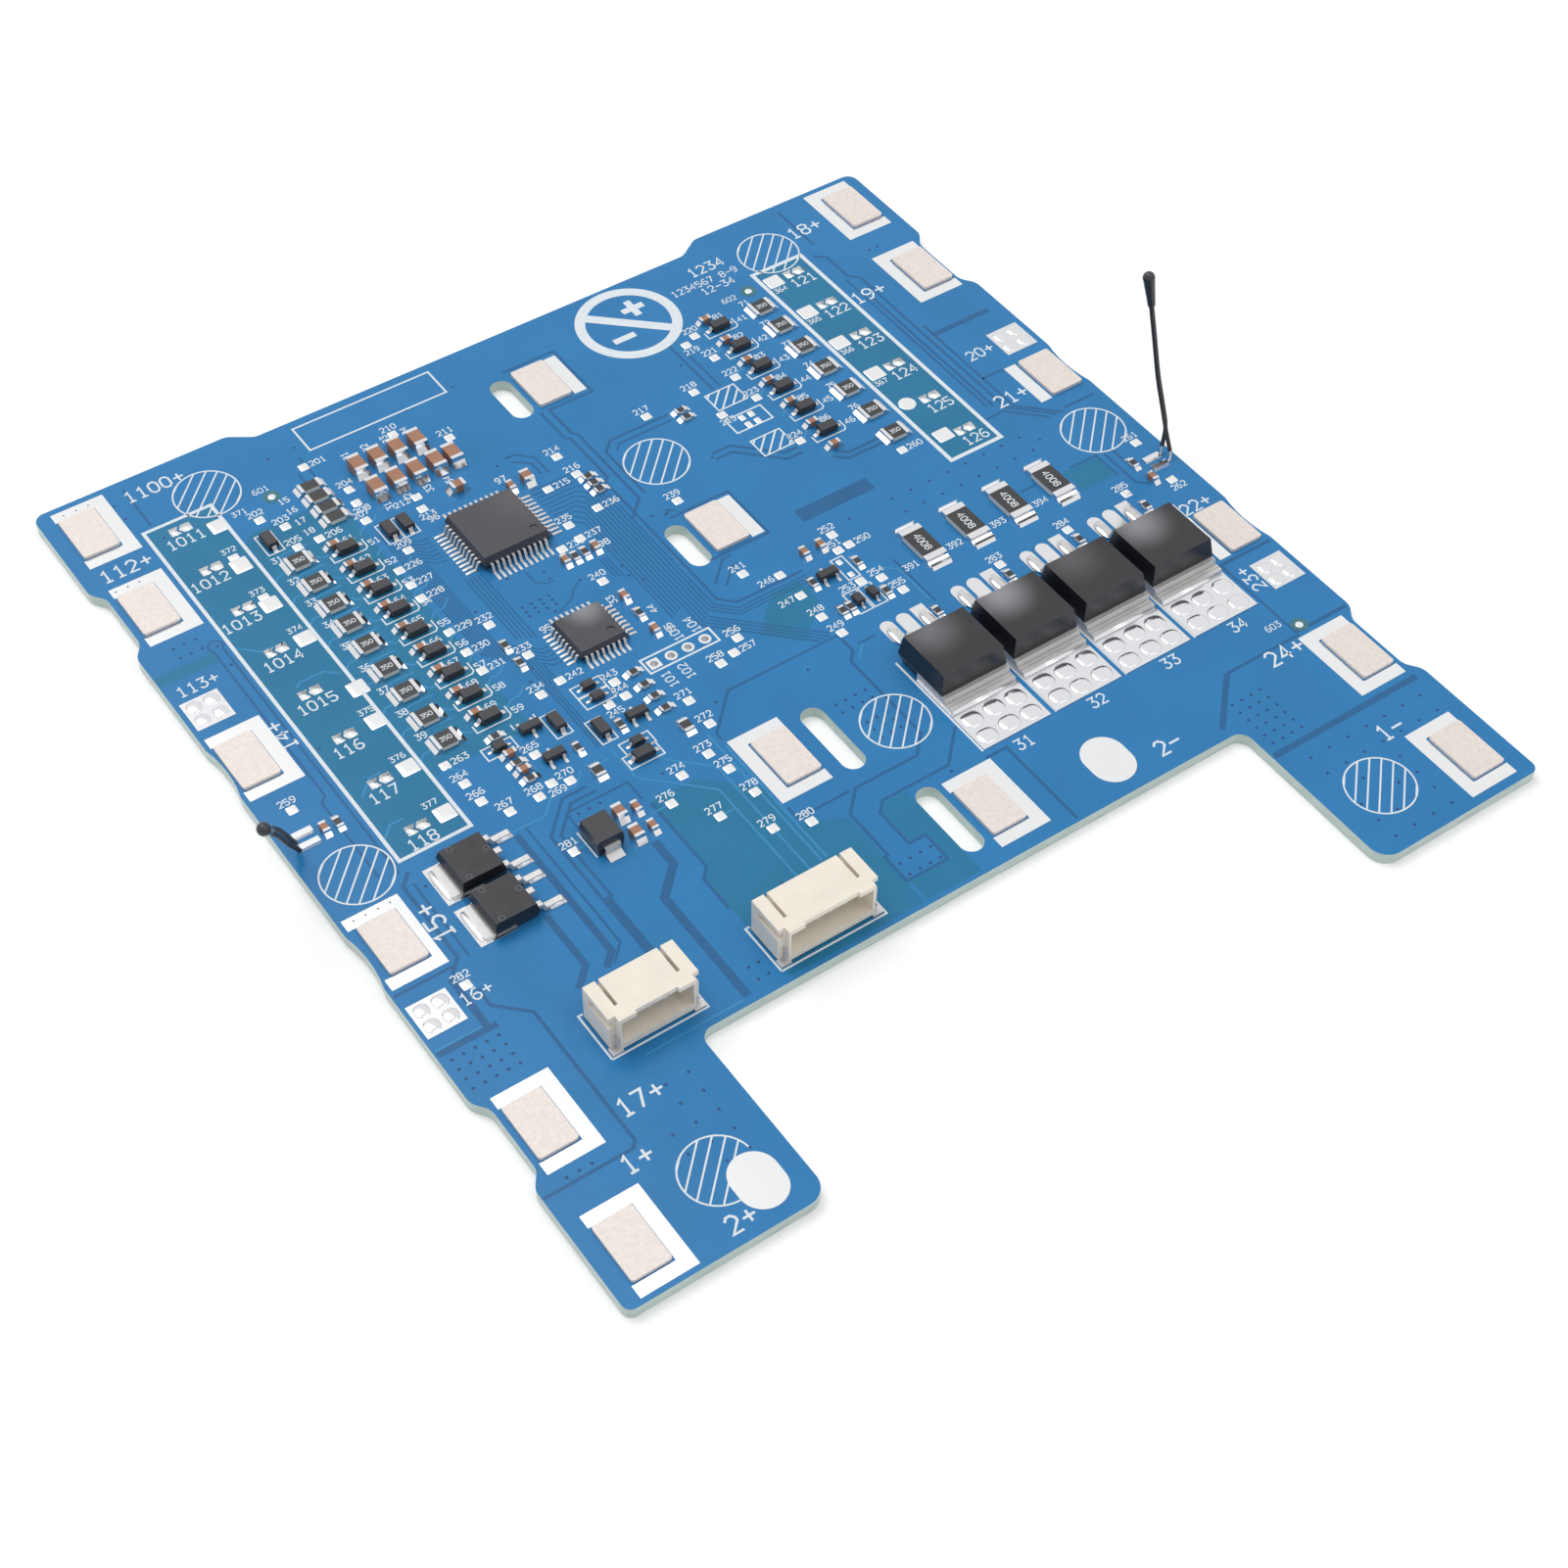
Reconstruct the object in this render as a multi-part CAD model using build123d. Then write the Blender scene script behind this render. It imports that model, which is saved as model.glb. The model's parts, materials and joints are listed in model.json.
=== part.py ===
from build123d import *
import math
import os

# Battery management board, in millimetres. The origin is the centre of the
# board outline on its underside. X runs across the legs, Y points away from
# them, and Z points up from the parts side.

os.makedirs("parts", exist_ok=True)

# Board outline
board_width = 131.8
board_length = 142.6
board_thickness = 1.6
shoulder_drop = 2.2
shoulder_inner_x = 34.5
shoulder_run = 3.3
shoulder_radius = 2.0
notch_width = 80.4
notch_depth = 25.2
notch_radius = 1.8
leg_inner_radius = 2.6
leg_outer_radius = 1.2
top_corner_radius = 1.6

# Edge scallops that clear the cell holders. Each one's place along the edge is
# its distance from the +Y end, or from the -Y end where it is negative.
deep_scallop_depth = 1.5
deep_scallop_mouth = 13.4
deep_scallop_floor = 9.4
deep_scallop_radius = 2.2
shallow_scallop_depth = 0.55
shallow_scallop_length = 9.0
left_deep_scallops = (23.7, -24.8)
right_deep_scallops = (23.9, -27.0)
left_shallow_scallops = (53.5, -54.7)
right_shallow_scallops = (51.7, -53.5)

# Strip slots: x, y and length of each
slot_width = 3.2
strip_slots = ((-2.1, 56.3, 8.5), (1.95, 19.1, 8.5), (-2.1, -18.75, 11.5), (1.85, -37.1, 11.5))

# Copper, tin and solder
pad_thickness = 0.08
land_thickness = 0.05

# Nickel battery tabs
tab_length = 8.0
tab_width = 5.1
tab_height = 0.5
tab_corner_radius = 0.35
tab_clearance = 0.2
land_band = 1.75
land_side_band = 1.9
stripe_width = 1.9

# Edge tabs: inset of the land's open side from the board's long edge, distance
# from an end as above, True for a full frame of tin or False for a stripe, and
# how far the tab floated inwards when it was soldered
left_tabs = (
    (2.1, 6.95, True, 0.0),
    (2.3, 23.65, True, 0.0),
    (0.6, 53.3, True, 0.0),
    (0.6, -55.45, True, 0.7),
    (2.1, -24.85, True, 0.0),
    (2.1, -6.65, True, 0.0),
)
right_tabs = (
    (1.9, 6.85, True, 0.0),
    (1.9, 23.95, True, 0.0),
    (0.9, 52.0, False, 0.0),
    (0.9, -53.45, False, 0.0),
    (2.2, -27.05, True, 0.0),
    (2.6, -7.2, True, 0.0),
)

# Tabs beside the slots: x of the open side, y of the middle, direction of the
# tab from there, frame or stripe, and how far it floated
inner_tab_places = (
    (0.05, 56.6, 1, False, 0.0),
    (4.2, 19.85, 1, False, 0.0),
    (-5.8, -18.0, -1, True, 0.0),
    (4.3, -38.15, 1, True, 0.0),
)

# Pads for sense wires: inset from the left or right edge, distance from an end
tap_pad_size = 5.15
left_tap_pads = ((3.25, 43.1), (3.1, -44.0))
right_tap_pads = ((3.5, 43.3), (3.45, -43.75))

# Oval pads for the power wires: one near the left leg's end, and one at a share
# of the way from the notch to the transistors' drain pads
power_pad_width = 5.9
power_pad_length = 7.6
left_power_pad = (-45.65, -5.6)
right_power_pad_x = 23.45
right_power_pad_share = 0.366

# Header holes
header_pitch = 2.54
header_count = 4
header_centre = (-9.45, 3.9)
header_hole_radius = 0.5
header_plating = 0.06
header_ring_radius = 0.82

# Control chips: body size, height, leads on a side, place
lead_pitch = 0.8
lead_thickness = 0.15
chip_standoff = 0.1
controller_body_size = 10.0
controller_height = 2.2
controller_side_count = 11
controller_lead_span = 13.2
controller_place = (-17.35, 34.6)
monitor_body_size = 7.0
monitor_height = 1.6
monitor_side_count = 8
monitor_lead_span = 9.0
monitor_place = (-17.2, 12.6)
chip_lead_width = 0.36
chip_toe_length = 0.65
chip_draft = 0.28
pin_one_dimple_radius = 0.6
pin_one_dimple_depth = 0.12

# Power transistors, the last one set in from the right edge, each with a gate
# resistor a little to its right
mosfet_count = 4
mosfet_pitch = 11.27
mosfet_inset = 14.94
gate_resistor_offsets = (4.25, 4.58, 4.91, 4.94)
gate_resistor_y = -8.9
mosfet_front_y = -21.9
mosfet_body_width = 10.1
mosfet_body_length = 9.1
mosfet_height = 4.5
mosfet_draft = 0.42
mosfet_parting = 1.6
mosfet_tab_thickness = 1.27
mosfet_tab_reach = 2.0
mosfet_tab_ledge = 1.2
mosfet_tab_ledge_height = 0.6
mosfet_tab_inset = 5.0
mosfet_solder = 0.18
mosfet_pad_width = 10.4
mosfet_pad_front_y = -30.8
mosfet_lead_pitch = 2.55
mosfet_lead_width = 0.8
mosfet_lead_thickness = 0.45
mosfet_lead_exit = 2.4
mosfet_lead_reach = 5.1
mosfet_lead_pad_width = 2.0
mosfet_lead_pad_length = 4.2
mosfet_stub = 0.8

# Power diodes in small tab packages: inset from the left edge, and y of each
power_diode_inset = 17.0
power_diode_rows = (-11.8, -19.1)
power_diode_length = 6.0
power_diode_width = 6.3
power_diode_height = 2.3
power_diode_draft = 0.3
power_diode_tab_width = 5.3
power_diode_tab_thickness = 0.5
power_diode_tab_reach = 1.1
power_diode_tab_inset = 3.0
power_diode_lead_pitch = 2.3
power_diode_lead_width = 0.78
power_diode_lead_reach = 3.6
power_diode_lead_exit = 1.1
power_diode_lead_thickness = 0.5
power_diode_lead_pad_length = 2.1
power_diode_lead_pad_width = 1.3
power_diode_pad_margin = 0.9
power_diode_stub = 0.9

# Clamp diode with flat terminals bent under its ends: inset from the left edge
# and y. Two pairs of capacitors stand beside it, placed from its middle.
clamp_inset = 31.95
clamp_y = -16.45
clamp_middle_capacitors = ((3.65, 1.95), (3.6, -1.85))
clamp_small_capacitors = ((5.85, 1.65), (5.9, -1.85))
clamp_width = 3.6
clamp_length = 4.3
clamp_height = 2.3
clamp_draft = 0.12
clamp_terminal_width = 2.1
clamp_terminal_thickness = 0.2
clamp_terminal_reach = 0.45
clamp_terminal_underlap = 1.1
clamp_pad_toe = 1.2

# Two-terminal chips: length, width, height, metal wrap, pad toe
small_capacitor = (1.6, 0.85, 0.8, 0.35, 0.6)
small_resistor = (1.6, 0.85, 0.45, 0.32, 0.6)
middle_capacitor = (2.0, 1.3, 1.2, 0.45, 0.6)
middle_resistor = (2.0, 1.3, 0.55, 0.4, 0.6)
large_resistor = (3.2, 1.6, 0.6, 0.5, 0.6)
bulk_capacitor = (3.2, 1.8, 1.6, 0.55, 0.5)
balance_resistor = (3.2, 2.5, 0.6, 0.5, 0.65)
shunt_resistor = (6.35, 3.2, 0.75, 0.95, 0.75)
cap_lip = 0.03

# Balancing columns: x, first y, pitch and count
left_balance_count = 9
right_balance_count = 6
balance_diode_columns = (
    (-34.9, 43.1, 4.45, left_balance_count),
    (29.85, 52.9, 5.18, right_balance_count),
)
balance_capacitor_columns = (
    (-36.1, 44.6, 4.45, left_balance_count),
    (28.8, 55.0, 5.18, right_balance_count + 1),
)
balance_resistor_columns = (
    (-41.25, (44.4, 39.8, 35.2, 31.0, 26.6, 21.7, 16.9, 11.9, 7.3)),
    (37.0, (52.9, 48.1, 42.8, 37.4, 32.1, 26.6, 21.3)),
)

# Current-sensing resistors
shunt_count = 4
shunt_pitch = 7.13
shunt_first = (27.05, 1.85)

# Bulk capacitors: x of each, for the two rows
bulk_rows = ((55.5, (-26.4, -23.4, -20.4, -17.4)), (50.4, (-26.4, -23.4, -20.4, -17.4, -14.85)))

# Loose chips: x, y of those that lie along X, then of those that lie along Y
small_capacitors_along_x = ((-36.0, 0.95), (-36.0, -2.25))
small_capacitors_along_y = (
    (-11.4, 41.2), (-12.85, 25.35), (-8.3, 25.35), (-10.1, 15.7), (-10.1, 8.6), (-60.15, 3.2),
    (60.1, -5.2), (13.4, 9.2), (16.0, 9.2),
)
middle_capacitors_along_x = ((-17.3, 44.9),)
middle_capacitors_along_y = ((-8.9, 41.3),)
small_resistors_along_x = (
    (-1.9, 37.2), (-1.9, 35.7), (-1.9, 34.2), (15.5, 41.2), (15.5, 39.6), (-16.3, 3.95),
    (-16.3, 1.4), (-16.3, -0.9), (-16.3, -3.3), (-36.0, 4.4), (-36.0, -0.7), (-36.0, -3.75),
)
small_resistors_along_y = (
    (-11.35, 25.35), (-9.9, 25.35), (-10.1, 12.15), (11.2, 4.1), (18.2, 4.1), (11.45, -2.1),
    (12.7, -2.1), (18.2, -2.3), (-28.7, -2.8), (-22.4, -2.5), (-58.35, 3.2), (59.8, -1.6),
    (-27.1, 16.8), (-27.1, 13.2),
)
middle_resistors_along_y = ((-28.7, -7.3), (-15.9, -7.2))
large_resistors_along_x = ((-33.3, 56.0), (-33.3, 53.7), (-33.3, 51.3), (-33.3, 49.0))

# Two-lead diodes: body length, width, height, lead width, reach, pad toe
long_diode = (2.7, 1.6, 1.15, 0.6, 1.85, 0.3)
short_diode = (1.7, 1.25, 0.95, 0.35, 1.25, 0.35)
long_diodes_along_x = ((-22.7, -8.2),)
long_diodes_along_y = ((-42.6, 49.8), (-28.75, 42.9), (-26.4, 42.9), (-28.7, 2.1), (-24.7, -1.8))
short_diodes_along_x = ((-36.5, 2.6), (-22.2, 5.15), (-22.2, 3.0), (-22.2, -6.05))
short_diodes_along_y = ((14.2, -1.6), (16.5, -1.6))
diode_draft = 0.1

# Small transistors: x, y and True where the pair of leads points to +Y
transistor_places = ((-31.75, 3.2, True), (-31.75, -2.3, False), (-19.8, -2.2, False), (13.6, 4.25, False))
transistor_body = (2.9, 1.3, 1.05)
transistor_lead_pitch = 1.9
transistor_lead_width = 0.42
transistor_reach = 1.2
transistor_toe = 0.45

# Wire sockets: x, setback of the front face from the notch, number of contacts
left_socket_place = (-43.55, 2.85)
right_socket_place = (-20.2, 2.35)
left_socket_count = 5
right_socket_count = 6
socket_pitch = 2.0
socket_end_margin = 1.95
socket_depth = 6.2
socket_height = 5.3
socket_standoff = 0.25
socket_wall = 1.2
socket_floor = 0.9
socket_roof = 0.7
socket_back_wall = 1.0
socket_slot_width = 0.45
socket_slot_length = 4.1
socket_slot_offset = 1.85
socket_groove_height = 1.2
socket_groove_depth = 0.75
socket_groove_block = 1.3
socket_corner_cut = 0.9
socket_lip_recess = 0.35
contact_size = 0.5
contact_height = 2.75
contact_reach = 3.6
contact_tail_reach = 0.6
contact_foot = 1.3
solder_tab_thickness = 0.25
solder_tab_height = 2.2
solder_tab_overhang = 0.25

# Bead thermistors on stiff sleeved leads. Each route runs from the sleeves'
# lower ends to the bead, with heights above the board; its side is the way from
# one sleeve to the other, and its foot is half the way between their lower ends.
bead_radius = 0.82
coat_radius = 0.52
coat_length = 5.4
sleeve_radius = 0.29
sleeve_spacing = 0.64
wire_radius = 0.14
joint_size = (2.6, 1.15)
joint_height = 0.4
joint_taper = 0.3
right_joints = ((62.6, -2.05), (62.6, -3.8))
right_sleeve_route = (
    (64.65, -2.5, 1.2),
    (65.3, -1.3, 3.6),
    (66.0, 0.7, 6.0),
    (65.9, 2.2, 9.8),
    (65.3, 3.05, 15.2),
    (64.3, 3.74, 21.6),
)
right_sleeve_side = (-0.73, -0.68, 0.0)
right_sleeve_foot = (0.1, -0.72, 0.0)
left_joints = ((-62.6, 4.2), (-62.6, 2.3))
left_sleeve_route = (
    (-64.3, 1.85, 1.2),
    (-65.6, 0.6, 4.2),
    (-66.95, -1.4, 8.0),
    (-68.35, -3.6, 12.0),
    (-70.2, -6.5, 16.4),
)
left_sleeve_side = (-0.86, -0.5, 0.0)
left_sleeve_foot = (-0.07, -0.62, 0.0)
wire_run = 0.45


def on_board(shape, x, y, angle=0):
    """Move a shape made round the origin to a place on the parts side."""
    return Pos(x, y, board_thickness) * Rot(0, 0, angle) * shape


def block(x_range, y_range, z_range):
    """A rectangular solid between three pairs of limits."""
    sizes = [high - low for low, high in (x_range, y_range, z_range)]
    middles = [(high + low) / 2 for low, high in (x_range, y_range, z_range)]
    return Pos(*middles) * Box(*sizes)


def moulded_body(length, width, low, high, draft, parting=None):
    """A moulded package whose four sides lean in above and below the parting line."""
    if parting is None:
        parting = (low + high) / 2
    sections = [
        Pos(0, 0, low) * Rectangle(length - 2 * draft, width - 2 * draft),
        Pos(0, 0, parting) * Rectangle(length, width),
        Pos(0, 0, high) * Rectangle(length - 2 * draft, width - 2 * draft),
    ]
    return loft(sections, ruled=True)


def side_profile(points, width):
    """Extrude a polygon drawn in the XZ plane to both sides of it."""
    face = Plane.XZ * Polygon(*points, align=None)
    return extrude(face, amount=width / 2, both=True)


def gull_lead(start, exit_height, tip, toe, width, thickness, shoulder):
    """A gull-wing lead along +X: out of the body, down, and flat on its pad."""
    low = exit_height - thickness / 2
    high = exit_height + thickness / 2
    knee = start + shoulder
    heel = knee + 0.35 * high
    return side_profile(
        [
            (start, low),
            (knee - 0.3 * thickness, low),
            (heel - 0.6 * thickness, 0),
            (tip + toe, 0),
            (tip + toe, pad_thickness),
            (tip, thickness),
            (heel, thickness),
            (knee, high),
            (start, high),
        ],
        width,
    )


def rounded_plate(width, length, low, high, radius):
    """A flat plate with rounded corners between two heights."""
    return extrude(Pos(0, 0, low) * RectangleRounded(width, length, radius), amount=high - low)


def from_end(distance):
    """A y given as a distance from the +Y end, or as a negative one from the -Y end."""
    return math.copysign(board_length / 2, distance) - distance


def edge_places(side, insets):
    """Places given as an inset from one long edge and a distance from an end."""
    return [(side * (board_width / 2 - inset), from_end(distance)) for inset, distance in insets]


def edge_tabs(side, tabs):
    """The tabs of one long edge: open side, middle, direction, frame and float of each."""
    places = edge_places(side, [tab[:2] for tab in tabs])
    return [(x, y, -side, *tab[2:]) for (x, y), tab in zip(places, tabs)]


def board_outline():
    """The outline's points and corner radii, anticlockwise from the notch's left inner corner."""
    x_edge = board_width / 2
    y_edge = board_length / 2
    notch_x = notch_width / 2
    notch_y = notch_depth - y_edge
    middle_y = y_edge - shoulder_drop
    shoulder_outer_x = shoulder_inner_x + shoulder_run
    corners = [
        (-notch_x, -y_edge, leg_inner_radius),
        (-notch_x, notch_y, notch_radius),
        (notch_x, notch_y, notch_radius),
        (notch_x, -y_edge, leg_inner_radius),
        (x_edge, -y_edge, leg_outer_radius),
    ]
    corners += scallop_corners(reversed(right_deep_scallops), 1)
    corners += [
        (x_edge, y_edge, top_corner_radius),
        (shoulder_outer_x, y_edge, shoulder_radius),
        (shoulder_inner_x, middle_y, shoulder_radius),
        (-shoulder_inner_x, middle_y, shoulder_radius),
        (-shoulder_outer_x, y_edge, shoulder_radius),
        (-x_edge, y_edge, top_corner_radius),
    ]
    corners += scallop_corners(left_deep_scallops, -1)
    corners.append((-x_edge, -y_edge, leg_outer_radius))
    return corners


def scallop_corners(centres, side):
    """The four corners of each deep scallop, in the order in which the outline meets them."""
    x_edge = side * board_width / 2
    x_floor = side * (board_width / 2 - deep_scallop_depth)
    mouth = side * deep_scallop_mouth / 2
    floor = side * deep_scallop_floor / 2
    corners = []
    for y in map(from_end, centres):
        corners += [
            (x_edge, y - mouth, deep_scallop_radius),
            (x_floor, y - floor, deep_scallop_radius),
            (x_floor, y + floor, deep_scallop_radius),
            (x_edge, y + mouth, deep_scallop_radius),
        ]
    return corners


def shallow_scallops():
    """Thin circle segments that the shallow scallops take off the long edges."""
    half = shallow_scallop_length / 2
    radius = (half**2 + shallow_scallop_depth**2) / (2 * shallow_scallop_depth)
    cutters = []
    for side, centres in ((-1, left_shallow_scallops), (1, right_shallow_scallops)):
        for y in map(from_end, centres):
            x = side * (board_width / 2 - shallow_scallop_depth + radius)
            cutters.append(Pos(x, y, board_thickness / 2) * Cylinder(radius, 2 * board_thickness))
    return cutters


def header_places():
    """The header holes' places, from left to right."""
    first = header_centre[0] - header_pitch * (header_count - 1) / 2
    return [(first + header_pitch * index, header_centre[1]) for index in range(header_count)]


def circuit_board():
    """The laminate with its slots and header holes."""
    corners = board_outline()
    outline = FilletPolyline(
        *[(x, y) for x, y, radius in corners],
        radius=[radius for x, y, radius in corners],
        close=True,
    )
    board = extrude(make_face(outline), amount=board_thickness)
    cutters = shallow_scallops()
    for x, y, length in strip_slots:
        slot = Rot(0, 0, 90) * SlotOverall(length, slot_width)
        cutters.append(Pos(x, y, -board_thickness) * extrude(slot, amount=3 * board_thickness))
    for x, y in header_places():
        drill = Cylinder(header_hole_radius + header_plating, 3 * board_thickness)
        cutters.append(Pos(x, y, 0) * drill)
    return board - cutters


def header_barrels():
    """A plated barrel with a ring on the parts side for every header hole, the first one square."""
    barrels = []
    for index, (x, y) in enumerate(header_places()):
        tube = Pos(0, 0, board_thickness / 2) * Cylinder(
            header_hole_radius + header_plating, board_thickness
        )
        ring = Circle(header_ring_radius)
        if index == 0:
            ring = Rectangle(2 * header_ring_radius, 2 * header_ring_radius)
        flange = Pos(0, 0, board_thickness) * extrude(ring, amount=land_thickness)
        hole = Pos(0, 0, board_thickness / 2) * Cylinder(header_hole_radius, 2 * board_thickness)
        barrels.append(Pos(x, y, 0) * (tube + flange - hole))
    return barrels


def battery_tab(x, y, direction, shift):
    """One nickel tab, set in from the open side of its land."""
    centre = x + direction * (tab_width / 2 + tab_clearance + shift)
    plate = rounded_plate(tab_width, tab_length, 0, tab_height, tab_corner_radius)
    return on_board(plate, centre, y)


def tab_land(x, y, direction, framed, shift):
    """The tinned copper beside a tab: three sides of a frame, or one stripe."""
    inner = tab_width + 2 * tab_clearance + shift
    half_opening = tab_length / 2 + tab_clearance
    low, high = 0, land_thickness
    if not framed:
        near = x + direction * (inner + tab_clearance / 2)
        far = near + direction * stripe_width
        limits = (min(near, far), max(near, far))
        return on_board(block(limits, (-half_opening, half_opening), (low, high)), 0, y)
    outer_half = half_opening + land_band
    far = x + direction * (inner - shift + land_side_band)
    outer = (min(x, far), max(x, far))
    hole_end = x + direction * inner
    hole = (min(x, hole_end) - (direction > 0), max(x, hole_end) + (direction < 0))
    frame = block(outer, (-outer_half, outer_half), (low, high))
    opening = block(hole, (-half_opening, half_opening), (low - 1, high + 1))
    return on_board(frame - opening, 0, y)


def tap_pads_solids():
    """Square pads for the thin sense wires."""
    half = tap_pad_size / 2
    pad = block((-half, half), (-half, half), (0, pad_thickness))
    places = edge_places(-1, left_tap_pads) + edge_places(1, right_tap_pads)
    return [on_board(pad, x, y) for x, y in places]


def power_pads_solids():
    """Oval pads for the two power wires."""
    oval = extrude(Rot(0, 0, 90) * SlotOverall(power_pad_length, power_pad_width), amount=pad_thickness)
    notch_y = notch_depth - board_length / 2
    right_y = notch_y + right_power_pad_share * (mosfet_pad_front_y - notch_y)
    left_x, distance = left_power_pad
    return [on_board(oval, left_x, from_end(distance)), on_board(oval, right_power_pad_x, right_y)]


def quad_chip(size, height, per_side, span, place):
    """A square chip's body and its leads on four sides."""
    body = moulded_body(size, size, chip_standoff, height, chip_draft)
    dimple_at = size / 2 - 2.6 * pin_one_dimple_radius
    dimple = Cylinder(pin_one_dimple_radius, 2 * pin_one_dimple_depth)
    body = body - Pos(dimple_at, -dimple_at, height) * dimple
    exit_height = (chip_standoff + height) / 2
    shoulder = 0.25 * (span - size) / 2
    lead = gull_lead(
        size / 2, exit_height, span / 2, chip_toe_length, chip_lead_width, lead_thickness, shoulder
    )
    leads = []
    for angle in (0, 90, 180, 270):
        for index in range(per_side):
            offset = lead_pitch * (index - (per_side - 1) / 2)
            leads.append(on_board(Rot(0, 0, angle) * Pos(0, offset, 0) * lead, *place))
    return on_board(body, *place), leads


def mosfet_places():
    """The x of each power transistor, from left to right."""
    last = board_width / 2 - mosfet_inset
    return [last - mosfet_pitch * index for index in reversed(range(mosfet_count))]


def mosfet_tab():
    """The stepped metal tab, from its front lip to where it ends inside the body."""
    front = mosfet_front_y - mosfet_tab_reach
    step = front + mosfet_tab_ledge
    back = mosfet_front_y + mosfet_tab_inset
    low = mosfet_solder
    high = mosfet_solder + mosfet_tab_thickness
    ledge = mosfet_solder + mosfet_tab_ledge_height
    profile = [
        (front, low),
        (back, low),
        (back, high),
        (step + 0.25, high),
        (step, ledge),
        (front, ledge),
    ]
    return Rot(0, 0, 90) * side_profile(profile, mosfet_body_width)


def mosfet_body(tab):
    """The moulded body over the tab."""
    middle = mosfet_front_y + mosfet_body_length / 2
    body = moulded_body(
        mosfet_body_width,
        mosfet_body_length,
        mosfet_solder,
        mosfet_height,
        mosfet_draft,
        mosfet_parting,
    )
    return Pos(0, middle, 0) * body - tab


def mosfet_leads():
    """Two soldered leads and the middle lead's cut stub."""
    back = mosfet_front_y + mosfet_body_length
    lead = gull_lead(
        0, mosfet_lead_exit, mosfet_lead_reach, 0, mosfet_lead_width, mosfet_lead_thickness, 1.2
    )
    standing = Pos(0, back, 0) * Rot(0, 0, 90) * Pos(0, 0, pad_thickness) * lead
    half = mosfet_lead_width / 2
    thick = mosfet_lead_thickness / 2
    stub = block(
        (-half, half),
        (back, back + mosfet_stub),
        (mosfet_lead_exit + pad_thickness - thick, mosfet_lead_exit + pad_thickness + thick),
    )
    return [Pos(-mosfet_lead_pitch, 0, 0) * standing, stub, Pos(mosfet_lead_pitch, 0, 0) * standing]


def mosfet_pads():
    """The drain's solder pad and the three lead pads, the last one square."""
    drain_back = mosfet_front_y + mosfet_tab_inset
    half = mosfet_pad_width / 2
    drain = block((-half, half), (mosfet_pad_front_y, drain_back), (0, mosfet_solder))
    lead_end = mosfet_front_y + mosfet_body_length + mosfet_lead_reach
    middle = lead_end + 1.3 - mosfet_lead_pad_length / 2
    oval = Rot(0, 0, 90) * SlotOverall(mosfet_lead_pad_length, mosfet_lead_pad_width)
    square = Rectangle(mosfet_lead_pad_width, mosfet_lead_pad_length)
    pads = [drain]
    for offset, face in ((-1, oval), (0, oval), (1, square)):
        pad = extrude(face, amount=pad_thickness)
        pads.append(Pos(offset * mosfet_lead_pitch, middle, 0) * pad)
    return pads


def power_diode():
    """A small tab package: body, metal pieces and solder pads, with its leads towards +X."""
    half_length = power_diode_length / 2
    low = pad_thickness
    tab_x = (-half_length - power_diode_tab_reach, -half_length + power_diode_tab_inset)
    half_tab = power_diode_tab_width / 2
    tab = block(tab_x, (-half_tab, half_tab), (low, low + power_diode_tab_thickness))
    body = moulded_body(
        power_diode_length,
        power_diode_width,
        low,
        low + power_diode_height,
        power_diode_draft,
    )
    reach = half_length + power_diode_lead_reach
    lead = gull_lead(
        half_length,
        power_diode_lead_exit,
        reach - 0.3,
        0.3,
        power_diode_lead_width,
        power_diode_lead_thickness,
        0.6,
    )
    half_lead = power_diode_lead_width / 2
    half_thick = power_diode_lead_thickness / 2
    stub = block(
        (half_length, half_length + power_diode_stub),
        (-half_lead, half_lead),
        (power_diode_lead_exit - half_thick, power_diode_lead_exit + half_thick),
    )
    metal = [tab, stub]
    metal += [Pos(0, side * power_diode_lead_pitch, low) * lead for side in (-1, 1)]
    margin = power_diode_pad_margin
    pads = [
        block(
            (tab_x[0] - margin, tab_x[1]), (-half_tab - margin / 2, half_tab + margin / 2), (0, low)
        )
    ]
    half_pad = power_diode_lead_pad_width / 2
    for side in (-1, 1):
        y = side * power_diode_lead_pitch
        along = (reach - power_diode_lead_pad_length, reach)
        pads.append(block(along, (y - half_pad, y + half_pad), (0, low)))
    return body - tab, metal, pads


def clamp_place():
    """The middle of the clamp diode."""
    return clamp_inset - board_width / 2, clamp_y


def beside_clamp(offsets):
    """Places given from the clamp diode's middle."""
    x, y = clamp_place()
    return tuple((x + offset_x, y + offset_y) for offset_x, offset_y in offsets)


def clamp_diode():
    """The clamp diode's body and its two flat terminals, which wrap under its ends."""
    low = clamp_terminal_thickness
    body = moulded_body(clamp_length, clamp_width, low, low + clamp_height, clamp_draft)
    exit_height = low + clamp_height / 2
    half = clamp_length / 2
    outer = half + clamp_terminal_reach
    thick = clamp_terminal_thickness
    terminal = side_profile(
        [
            (half, exit_height - thick / 2),
            (half, exit_height + thick / 2),
            (outer, exit_height + thick / 2),
            (outer, 2 * thick),
            (outer + clamp_pad_toe - thick, pad_thickness),
            (outer + clamp_pad_toe - thick, 0),
            (half - clamp_terminal_underlap, 0),
            (half - clamp_terminal_underlap, thick),
            (outer - thick, thick),
            (outer - thick, exit_height - thick / 2),
        ],
        clamp_terminal_width,
    )
    return body, [terminal, Rot(0, 0, 180) * terminal]


def chip_body(size):
    """The ceramic block between a chip's metal ends."""
    length, width, height, wrap, toe = size
    half = length / 2 - wrap
    return block((-half, half), (-width / 2, width / 2), (pad_thickness, pad_thickness + height))


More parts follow.
